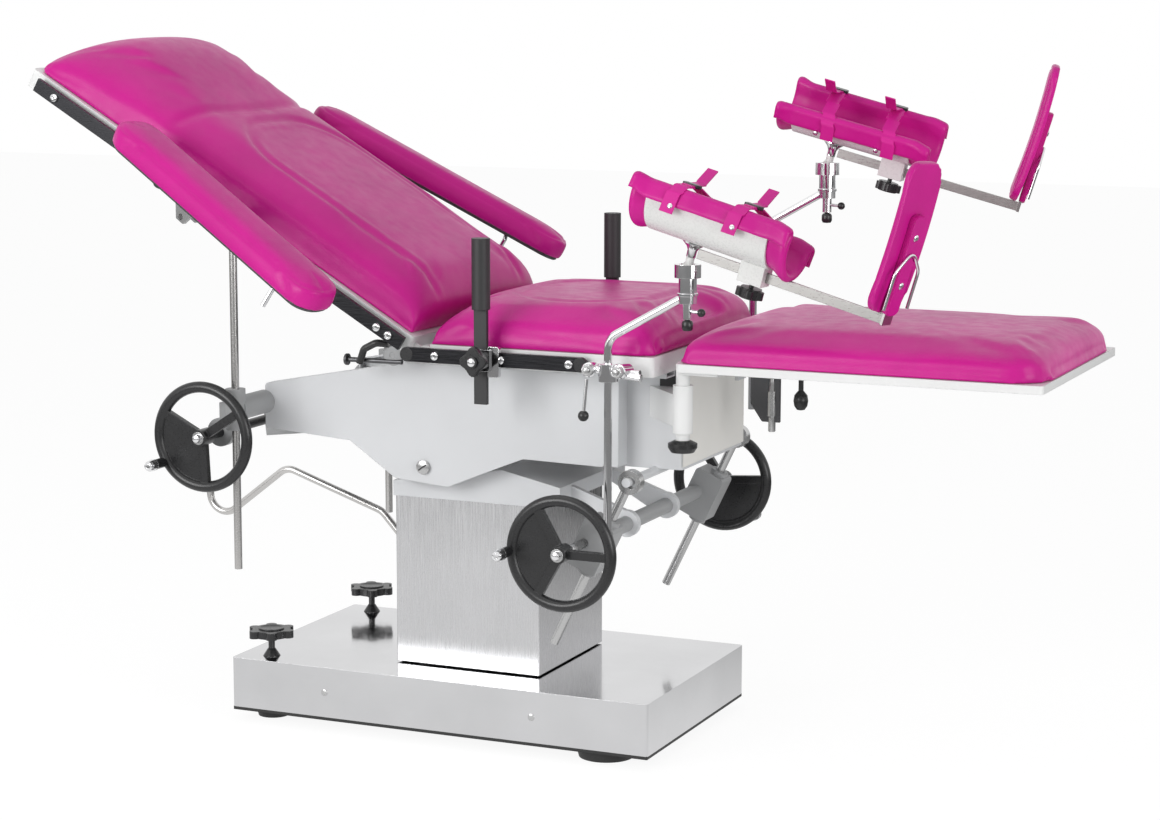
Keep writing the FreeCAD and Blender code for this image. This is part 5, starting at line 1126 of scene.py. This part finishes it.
box_low, box_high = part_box("tilt_gearboxes")
for side_name, side in SIDES:
    inner = box_high.y if side > 0 else box_low.y
    outer = side * (TILT_WHEEL_Y - HUB_FACE)
    shaft_sleeve(f"{side_name}_tilt_shaft", tilt_hub.x, tilt_hub.z,
                 min(inner, outer) + SHAFT_END_GAP, max(inner, outer) - SHAFT_END_GAP, SHAFT_RADIUS,
                 "tilt_wheels")
print("shaft sleeves made")

# %% [markdown]
# The pivot bolts of the side plates have a cross slot, drawn as a thin near-black plate of painted shade on
# the head, and the base cover is held by flat rivets. Both are small turned heads that sit on the CAD faces.

# %% Bolts and rivets on the plates
PIVOT_HEAD_RADIUS = 0.0125
BASE_RIVET_SPOTS, BASE_RIVET_LEVEL = (-0.244, 0.170), 0.072


def slotted_head(name, place, radius, body):
    spun(name, [(radius, -0.0005), (radius, 0.0012), (radius * 0.86, 0.0022), (0, 0.0024)], place,
         ground_steel, body, 32)
    # The slot is a thin near-black plate laid on the head: painted shade, not a cut.
    cut_plate(f"{name}_slot", rectangle(radius * 1.5, radius * 0.22), 0.0006,
              place @ Matrix.Translation((0, 0, 0.0021)) @ Matrix.Rotation(math.radians(35), 4, "Z"),
              shadow_paint, body, 0)


shaft_low, shaft_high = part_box("tilt_shaft")
tilt_pivot = pivot("table_tilt")
for side_name, side in SIDES:
    face_y = shaft_low.y if side < 0 else shaft_high.y
    slotted_head(f"{side_name}_pivot_bolt_head", facing(Vector((tilt_pivot.x, face_y, tilt_pivot.z)),
                                                        (0, side, 0)), PIVOT_HEAD_RADIUS, "table")

cover_low, cover_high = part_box("base_cover")
for side_name, side in SIDES:
    face_y = cover_low.y if side < 0 else cover_high.y
    for index, along in enumerate(BASE_RIVET_SPOTS):
        place = facing(at(along, face_y, BASE_RIVET_LEVEL), (0, side, 0))
        spun(f"{side_name}_base_rivet_{index}",
             [(0.0065, -0.0003), (0.0063, 0.0006), (0.0045, 0.0014), (0, 0.0016)], place,
             ground_steel, "base", 24)
print("bolts and rivets made")

# %% [markdown]
# The floor locks are lobed knobs over the base. Their top is dished with a cap in the middle, and
# a thin washer lies where the screw enters the cover.

# %% Floor lock fittings
for side_name, side in SIDES:
    lock_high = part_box(f"{side_name}_floor_lock")[1]
    centre = pivot(f"{side_name}_lock_turn")
    spun(f"{side_name}_lock_cap", [(0.0235, -0.0005), (0.0235, 0.0018), (0.0215, 0.0024),
                                   (0.0195, 0.0014), (0, 0.0010)],
         Matrix.Translation((centre.x, centre.y, lock_high.z)), black_plastic,
         f"{side_name}_floor_lock", 36)
    spun(f"{side_name}_lock_washer", [(0.0066, 0.0), (0.0150, 0.0), (0.0150, 0.0012), (0.0145, 0.0016),
                                      (0.0066, 0.0016), (0.0066, 0.0)],
         Matrix.Translation((centre.x, centre.y, cover_high.z)), chrome, "base", 36)
print("floor locks done")

# %% [markdown]
# The accessory rails are held by bright domed bolts with a socket, and round black caps close the
# ends of the seat rails.

# %% Rail bolts
def rail_bolt(name, place, body):
    spun(name, [(0.0076, -0.0032), (0.0078, -0.0005), (0.0070, 0.0012), (0.0048, 0.0022),
                (0.0034, 0.0022), (0.0032, 0.0008), (0, 0.0006)], place, chrome, body, 24)


rail_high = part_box("seat_rails")[1]
RAIL_DROP = 0.017
rail_level = seat_pan_top - RAIL_DROP
rail_face = rail_high.y
BACK_BOLT_SPOTS = (-0.852, -0.4635, -0.063, -0.089)
SEAT_BOLT_SPOTS = (0.007, 0.133, 0.261)
for side_name, side in SIDES:
    for index, along in enumerate(SEAT_BOLT_SPOTS):
        rail_bolt(f"{side_name}_seat_rail_bolt_{index}",
                  facing(at(along, side * rail_face, rail_level), (0, side, 0)), "table")
    for index, along in enumerate(BACK_BOLT_SPOTS):
        spot = back_place @ Vector((along, side * rail_face, back_rise - RAIL_DROP))
        rail_bolt(f"{side_name}_back_rail_bolt_{index}", facing(spot, (0, side, 0)), "back")
RAIL_HEAD, RAIL_END, RAIL_OUTSIDE, RAIL_THICK = -0.049, 0.281, 0.278, 0.008
for side_name, side in SIDES:
    for end_name, along in (("head", RAIL_HEAD), ("foot", RAIL_END)):
        spun(f"{side_name}_rail_cap_{end_name}",
             [(0, -0.0006), (0.0120, -0.0006), (0.0128, 0.0006), (0.0128, RAIL_THICK - 0.0006),
              (0.0120, RAIL_THICK + 0.0006), (0, RAIL_THICK + 0.0006)],
             facing(at(along, side * (RAIL_OUTSIDE - RAIL_THICK), rail_level), (0, side, 0)),
             black_plastic, "table", 32)
print("rail bolts and end caps made")

# %% [markdown]
# The knob of each hand-grip clamp is a flat plate with four finger lobes and a bright centre. The
# CAD knob stays inside it as its hub, and the plate turns with it. A chromed guide block, fixed to
# the clamp, stands beside the blade of the grip.

# %% Grip knobs and guides
KNOB_PLATE_RADIUS, KNOB_LOBES, KNOB_LOBE_DEPTH, KNOB_PLATE_THICK = 0.0265, 4, 0.0075, 0.0125
KNOB_PLATE_BACK = 0.0165
GUIDE_ALONG, GUIDE_LEVEL, GUIDE_OUT = 0.1245, 0.7065, 0.005
GUIDE_WIDE, GUIDE_HIGH, GUIDE_THICK = 0.021, 0.053, 0.010
for side_name, side in SIDES:
    knob_low, knob_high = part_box(f"{side_name}_grip_knob")
    knob_end = knob_low.y if side < 0 else knob_high.y
    knob_middle = pivot(f"{side_name}_grip_knob_turn")
    plate_at = Vector((knob_middle.x, knob_end - side * KNOB_PLATE_BACK, knob_middle.z))
    cut_plate(f"{side_name}_grip_knob_plate",
              lobed_outline(KNOB_PLATE_RADIUS, KNOB_LOBES, KNOB_LOBE_DEPTH), KNOB_PLATE_THICK,
              facing(plate_at, (0, side, 0)), black_plastic, f"{side_name}_grip_knob",
              0.0025)
    spun(f"{side_name}_grip_knob_centre", [(0.0072, -0.0008), (0.0072, 0.0012), (0.0050, 0.0026),
                                           (0, 0.0030)],
         facing(Vector((knob_middle.x, knob_end, knob_middle.z)), (0, side, 0)), chrome,
         f"{side_name}_grip_knob", 28)
for side_name, side in SIDES:
    grip_low, grip_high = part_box(f"{side_name}_hand_grip")
    blade_y = (grip_low.y + grip_high.y) / 2
    guide_at = at(GUIDE_ALONG, blade_y + side * GUIDE_OUT, GUIDE_LEVEL)
    cut_plate(f"{side_name}_grip_guide", rounded_outline(GUIDE_WIDE, GUIDE_HIGH, 0.003), GUIDE_THICK,
              Matrix.Translation(guide_at) @ Matrix.Rotation(math.radians(90 * -side), 4, "X")
              @ Matrix.Translation((0, 0, -GUIDE_THICK)), chrome, "table", 0.0015)
print("grip knobs and guides made")

# %% [markdown]
# Near the back hinge a gray disc lies on each side of the back section. On the near side a curved
# black lever and a spring plunger with a round head release the back, and they rise with it.

# %% Back hinge fittings
hinge_point = pivot("back_lift")
EAR_OUT, DISC_BACK, DISC_DOWN = 0.249, 0.057, 0.004
RELEASE_OUT = 0.2655
for side_name, side in SIDES:
    ear_face = side * EAR_OUT
    spun(f"{side_name}_hinge_disc", [(0.017, 0), (0.0185, 0.001), (0.0185, 0.005), (0.015, 0.0065),
                                     (0.006, 0.0070), (0.005, 0.0060), (0, 0.0058)],
         facing(Vector((hinge_point.x - DISC_BACK, ear_face, hinge_point.z - DISC_DOWN)),
                (0, side, 0)),
         cast_paint, "back", 36)
release = Vector((hinge_point.x, -RELEASE_OUT, hinge_point.z))
bar_along("release_lever", [release + Vector((-0.066, 0.010, 0.016)),
                            release + Vector((-0.084, 0, 0.018)),
                            release + Vector((-0.108, 0, 0.006)),
                            release + Vector((-0.117, 0, -0.020))],
          circle(0.0065), black_plastic, "back", 0.012)
bar_along("release_plunger", [release + Vector((-0.146, 0.012, -0.016)),
                              release + Vector((-0.039, 0.012, -0.015))],
          circle(0.0045), dark_steel, "back")
spun("release_plunger_head", [(0, 0), (0.010, 0.0005), (0.0105, 0.002), (0.0105, 0.005), (0.0045, 0.006)],
     facing(release + Vector((-0.151, 0.012, -0.016)), (1, 0, 0)), dark_steel, "back",
     28)
print("hinge fittings made")

# %% [markdown]
# The clamps on the near and far rods of the leg rests are chrome bars with a bored eye, a bolt and
# a hexagon nut on each side, and a thin lever with a black ball hangs below them.

# %% Leg rod clamps
ROD_OUT, ROD_RADIUS, ROD_CLAMP_LEVEL, EYE_SPREAD = 0.300, 0.007, 0.703, 0.030


def make_rod_clamp(name, side):
    rod_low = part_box(f"{name}_leg_rod")[0]
    middle = Vector((rod_low.x + ROD_RADIUS, side * ROD_OUT, ROD_CLAMP_LEVEL))
    for index, shift in enumerate((-EYE_SPREAD, EYE_SPREAD)):
        spot = middle + Vector((shift, side * 0.004, 0.004))
        across = facing(spot, (0.12 - 0.3 * index, side * 0.95, 0.05))
        spun(f"{name}_clamp_eye_{index}",
             [(0.0052, -0.015), (0.0105, -0.015), (0.0125, -0.013), (0.0125, 0.013), (0.0105, 0.015),
              (0.0052, 0.015), (0.0052, -0.015)], across, chrome, "table", 28)
        cut_plate(f"{name}_clamp_nut_{index}", circle(0.0105, 6), 0.008,
                  across @ Matrix.Translation((0, 0, 0.0148)), ground_steel, "table",
                  0.0008)
        spun(f"{name}_clamp_bolt_{index}",
             [(0, -0.021), (0.0040, -0.020), (0.0050, -0.016), (0.0050, 0.026), (0.0040, 0.028),
              (0, 0.0285)], across, ground_steel, "table", 20)
    bar_along(f"{name}_clamp_bar", [middle + Vector((-0.034, side * 0.006, 0.006)),
                                    middle + Vector((0.062, side * 0.006, -0.006))],
              circle(0.007), chrome, "table")
    foot = middle + Vector((-0.034, side * 0.012, -0.012))
    tip = foot + Vector((-0.004, side * 0.004, -0.062))
    bar_along(f"{name}_clamp_lever", [foot, tip], circle(0.0032, 12), chrome, "table")
    spun(f"{name}_clamp_ball", [(0, -0.0095), (0.0052, -0.0080), (0.0085, -0.0042), (0.0095, 0.0),
                                (0.0085, 0.0045), (0.0052, 0.0080), (0, 0.0095)],
         Matrix.Translation(tip), black_plastic, "table", 24)


for side_name, side in SIDES:
    make_rod_clamp(side_name, side)
print("rod clamps made")

# %% [markdown]
# Under each ball socket a small black knob on a short screw locks the joint, and a black ball on a
# thin stalk sits beside it.

# %% Socket knobs
for side_name, side in SIDES:
    centre = pivot(f"{side_name}_leg_swivel")
    rod_body = f"{side_name}_leg_rod"
    spun(f"{side_name}_socket_knob", [(0, -0.104), (0.0075, -0.103), (0.0095, -0.099), (0.0095, -0.090),
                                      (0.0075, -0.0865), (0.0045, -0.086), (0.0045, -0.080)],
         Matrix.Translation(centre), black_plastic, rod_body, 24)
    spun(f"{side_name}_socket_ring", [(0.0152, -0.046), (0.0172, -0.045), (0.0172, -0.041),
                                      (0.0152, -0.040)],
         Matrix.Translation(centre), chrome, rod_body, 32)
    stalk = centre + Vector((0, 0, -0.070))
    side_tip = stalk + Vector((0.026, side * 0.004, -0.002))
    bar_along(f"{side_name}_socket_stalk", [stalk, side_tip], circle(0.0028, 10), chrome, rod_body)
    spun(f"{side_name}_socket_ball", [(0, -0.007), (0.004, -0.006), (0.0065, -0.003), (0.007, 0.0),
                                      (0.0065, 0.003), (0.004, 0.006), (0, 0.007)],
         Matrix.Translation(side_tip), black_plastic, rod_body, 20)
print("socket knobs made")

# %% [markdown]
# At the foot end a beige panel closes the box, and above the hinge arm a thin near-black plate is painted
# shade for an opening in the box. Under the leg pan a bracket plate with a spring pin latches the section,
# and a black oval knob on a stalk draws it. These ride on the leg section, so they swing away with it.

# %% End panel and latch
END_PANEL_X, END_PANEL_HALF, END_PANEL_LOW, END_PANEL_TOP = 0.418, 0.149, 0.522, 0.678
END_PANEL_THICK = 0.0015
cut_plate("end_panel", [(-END_PANEL_HALF, END_PANEL_LOW), (END_PANEL_HALF, END_PANEL_LOW),
                        (END_PANEL_HALF, END_PANEL_TOP), (-END_PANEL_HALF, END_PANEL_TOP)],
          END_PANEL_THICK,
          Matrix.Translation(at(END_PANEL_X, 0, 0.0))
          @ Matrix(((0, 0, 1, 0), (1, 0, 0, 0), (0, 1, 0, 0), (0, 0, 0, 1))),
          beige_paint, "table", 0.0005)
# A thin near-black plate on the near wall: painted shade for the opening.
cut_plate("end_box_opening_painted_shade", rounded_outline(0.035, 0.026, 0.004), 0.0006,
          Matrix.Translation(at(0.3925, -END_PANEL_HALF, 0.668)) @ Matrix.Rotation(math.radians(90), 4, "X"),
          shadow_paint, "table", 0)
LEG_PAN_DEEP = 0.014
leg_pan_low = leg_low.z - LEG_PAN_DEEP
latch_foot = at(0.515, 0.003, leg_pan_low)
LATCH_HALF, LATCH_DEEP, LATCH_CORNER, LATCH_THICK = 0.0275, 0.117, 0.086, 0.006
cut_plate("latch_plate", [(-LATCH_HALF, -LATCH_CORNER), (-0.006, -LATCH_DEEP),
                          (LATCH_HALF, -LATCH_DEEP), (LATCH_HALF, 0.0005),
                          (-LATCH_HALF, 0.0005)], LATCH_THICK,
          Matrix.Translation(latch_foot) @ Matrix.Rotation(math.radians(90), 4, "X"), dark_steel,
          "leg", 0.001)
spun("latch_pin", [(0, -0.134), (0.0055, -0.134), (0.0065, -0.132), (0.0065, -0.108), (0.0085, -0.106),
                   (0.0085, -0.062), (0.0065, -0.060), (0.0045, -0.040), (0, -0.040)],
     Matrix.Translation(latch_foot + Vector((0.012, -0.003, 0))), ground_steel, "leg",
     24)
knob_spot = at(0.580, 0, leg_pan_low)
cut_plate("latch_bracket", rounded_outline(0.060, 0.030, 0.006), 0.003,
          Matrix.Translation(knob_spot + Vector((-0.008, 0, -0.0025))), ground_steel, "leg",
          0.0006)
spun("latch_knob", [(0, -0.093), (0.0070, -0.0915), (0.0115, -0.085), (0.0130, -0.076),
                    (0.0115, -0.066), (0.0065, -0.060), (0.0045, -0.058), (0.0042, 0.001)],
     Matrix.Translation(knob_spot), black_plastic, "leg", 32)
print("end panel and latch made")

# %% [markdown]
# A floor and a surrounding white world keep a plain white studio look. The floor is white, mostly by its own
# light for the camera, so that only a faint contact shadow stays. In reflections the floor is a painted
# reflection: a glow seen only by glossy rays, full near the table and dimmer away from it, which paints the
# darker bands on the steel.

# %% Floor
REFLECTION_FADE_MIDDLE = (-0.6, -0.7, 0.0)
REFLECTION_FADE_START, REFLECTION_FADE_END, REFLECTION_FADE_DIM = 0.8, 2.9, 0.26
FLOOR_GLOW, GLOW_SHARE = 1.08, 0.84


def white_floor():
    shape = bmesh.new()
    bmesh.ops.create_grid(shape, x_segments=1, y_segments=1, size=14.0)
    mesh = bpy.data.meshes.new("studio_floor")
    shape.to_mesh(mesh)
    shape.free()
    floor = bpy.data.objects.new("studio_floor", mesh)
    bpy.context.scene.collection.objects.link(floor)
    material, shader = new_finish("floor_white", (0.86, 0.86, 0.86), 0.9)
    ray = add_node(material, "ShaderNodeLightPath")
    glow = add_node(material, "ShaderNodeEmission", Strength=FLOOR_GLOW)
    glow.inputs["Color"].default_value = (1, 1, 1, 1)
    share = add_node(material, "ShaderNodeMath")
    share.operation = "MULTIPLY"
    share.inputs[1].default_value = GLOW_SHARE
    join(material, ray.outputs["Is Camera Ray"], share.inputs[0])
    seen = add_node(material, "ShaderNodeMixShader")
    join(material, share.outputs["Value"], seen.inputs["Fac"])
    join(material, shader.outputs["BSDF"], seen.inputs[1])
    join(material, glow.outputs["Emission"], seen.inputs[2])
    # Glossy rays see a painted reflection: a glow that fades with distance from the table and paints darker
    # bands on the steel.
    place = add_node(material, "ShaderNodeTexCoord")
    from_table = add_node(material, "ShaderNodeVectorMath")
    from_table.operation = "DISTANCE"
    from_table.inputs[1].default_value = REFLECTION_FADE_MIDDLE
    join(material, place.outputs["Object"], from_table.inputs[0])
    painted_reflection_fade = add_node(material, "ShaderNodeMapRange")
    painted_reflection_fade.interpolation_type = "SMOOTHSTEP"
    for socket, value in (("From Min", REFLECTION_FADE_START), ("From Max", REFLECTION_FADE_END), ("To Min", 1.0),
                          ("To Max", REFLECTION_FADE_DIM)):
        painted_reflection_fade.inputs[socket].default_value = value
    join(material, from_table.outputs["Value"], painted_reflection_fade.inputs["Value"])
    painted_reflection_glow = add_node(material, "ShaderNodeEmission")
    join(material, painted_reflection_fade.outputs["Result"], painted_reflection_glow.inputs["Strength"])
    whole = add_node(material, "ShaderNodeMixShader")
    join(material, ray.outputs["Is Glossy Ray"], whole.inputs["Fac"])
    join(material, seen.outputs["Shader"], whole.inputs[1])
    join(material, painted_reflection_glow.outputs["Emission"], whole.inputs[2])
    out = material.node_tree.nodes["Material Output"]
    join(material, whole.outputs["Shader"], out.inputs["Surface"])
    mesh.materials.append(material)


white_floor()
print("floor made")

# %% [markdown]
# To the camera and in reflections the world is plain white, and it lights the table more gently.

# %% World
WORLD_LIGHT = 0.42


def white_world(light):
    world = bpy.data.worlds.new("white_studio")
    bpy.context.scene.world = world
    world.use_nodes = True
    tree = world.node_tree
    background = tree.nodes["Background"]
    background.inputs["Color"].default_value = (1, 1, 1, 1)
    ray = tree.nodes.new("ShaderNodeLightPath")
    seen = tree.nodes.new("ShaderNodeMath")
    seen.operation = "MAXIMUM"
    clear = tree.nodes.new("ShaderNodeMath")
    clear.operation = "MAXIMUM"
    level = tree.nodes.new("ShaderNodeMapRange")
    level.inputs["To Min"].default_value = light
    level.inputs["To Max"].default_value = 1.0
    tree.links.new(ray.outputs["Is Camera Ray"], seen.inputs[0])
    tree.links.new(ray.outputs["Is Glossy Ray"], seen.inputs[1])
    tree.links.new(seen.outputs["Value"], clear.inputs[0])
    tree.links.new(ray.outputs["Is Transmission Ray"], clear.inputs[1])
    tree.links.new(clear.outputs["Value"], level.inputs["Value"])
    tree.links.new(level.outputs["Result"], background.inputs["Strength"])


white_world(WORLD_LIGHT)
print("world made")

# %% [markdown]
# Most of the light is level: one broad soft lamp stands at the near side, one at the foot end and a
# weak one hangs overhead. They are large, so the highlights on the leather stay soft.

# %% Lamps
def soft_lamp(name, place, aim, size, power):
    light = bpy.data.lights.new(name, "AREA")
    light.shape = "RECTANGLE"
    light.size = size[0]
    light.size_y = size[1]
    light.energy = power
    lamp = bpy.data.objects.new(name, light)
    lamp.location = place
    lamp.rotation_euler = (Vector(aim) - Vector(place)).to_track_quat("-Z", "Y").to_euler()
    bpy.context.scene.collection.objects.link(lamp)


table_middle = Vector((0, 0, 0.6))
soft_lamp("overhead_softbox", (-0.6, -0.4, 3.2), table_middle, (2.6, 2.0), 10)
soft_lamp("near_softbox", (-1.6, -3.6, 1.7), table_middle, (2.2, 1.8), 78)
soft_lamp("foot_softbox", (3.4, -1.6, 1.3), table_middle, (1.8, 1.6), 42)
print("lamps made")

# %% [markdown]
# The camera stands where the photographer stood: nearly five metres away, a little to the foot end
# and slightly above the seat. Its focal length gives the photograph's framing on a 36 mm sensor.

# %% Camera
CAMERA_TURN, CAMERA_RISE, CAMERA_ROLL = 23.7, 8.9, 0.1
CAMERA_AWAY = 4.8817
AIM_ALONG, AIM_UP = 0.1592, 0.5847
PHOTO_WIDE, FOCAL_PIXELS, SENSOR_WIDE = 1160, 2698.3, 36.0


def make_camera():
    turn, rise = math.radians(CAMERA_TURN), math.radians(CAMERA_RISE)
    backwards = Vector((math.sin(turn) * math.cos(rise), -math.cos(turn) * math.cos(rise), math.sin(rise)))
    aim = at(AIM_ALONG, 0, AIM_UP)
    lens = bpy.data.cameras.new("photo_camera")
    lens.sensor_width = SENSOR_WIDE
    lens.lens = FOCAL_PIXELS / PHOTO_WIDE * SENSOR_WIDE
    lens.clip_end = 100
    camera = bpy.data.objects.new("photo_camera", lens)
    camera.matrix_world = (Matrix.Translation(aim + backwards * CAMERA_AWAY)
                           @ backwards.to_track_quat("Z", "Y").to_matrix().to_4x4()
                           @ Matrix.Rotation(math.radians(CAMERA_ROLL), 4, "Z"))
    bpy.context.scene.collection.objects.link(camera)
    bpy.context.scene.camera = camera


make_camera()
bpy.context.scene.view_settings.view_transform = "Standard"
print("camera made")
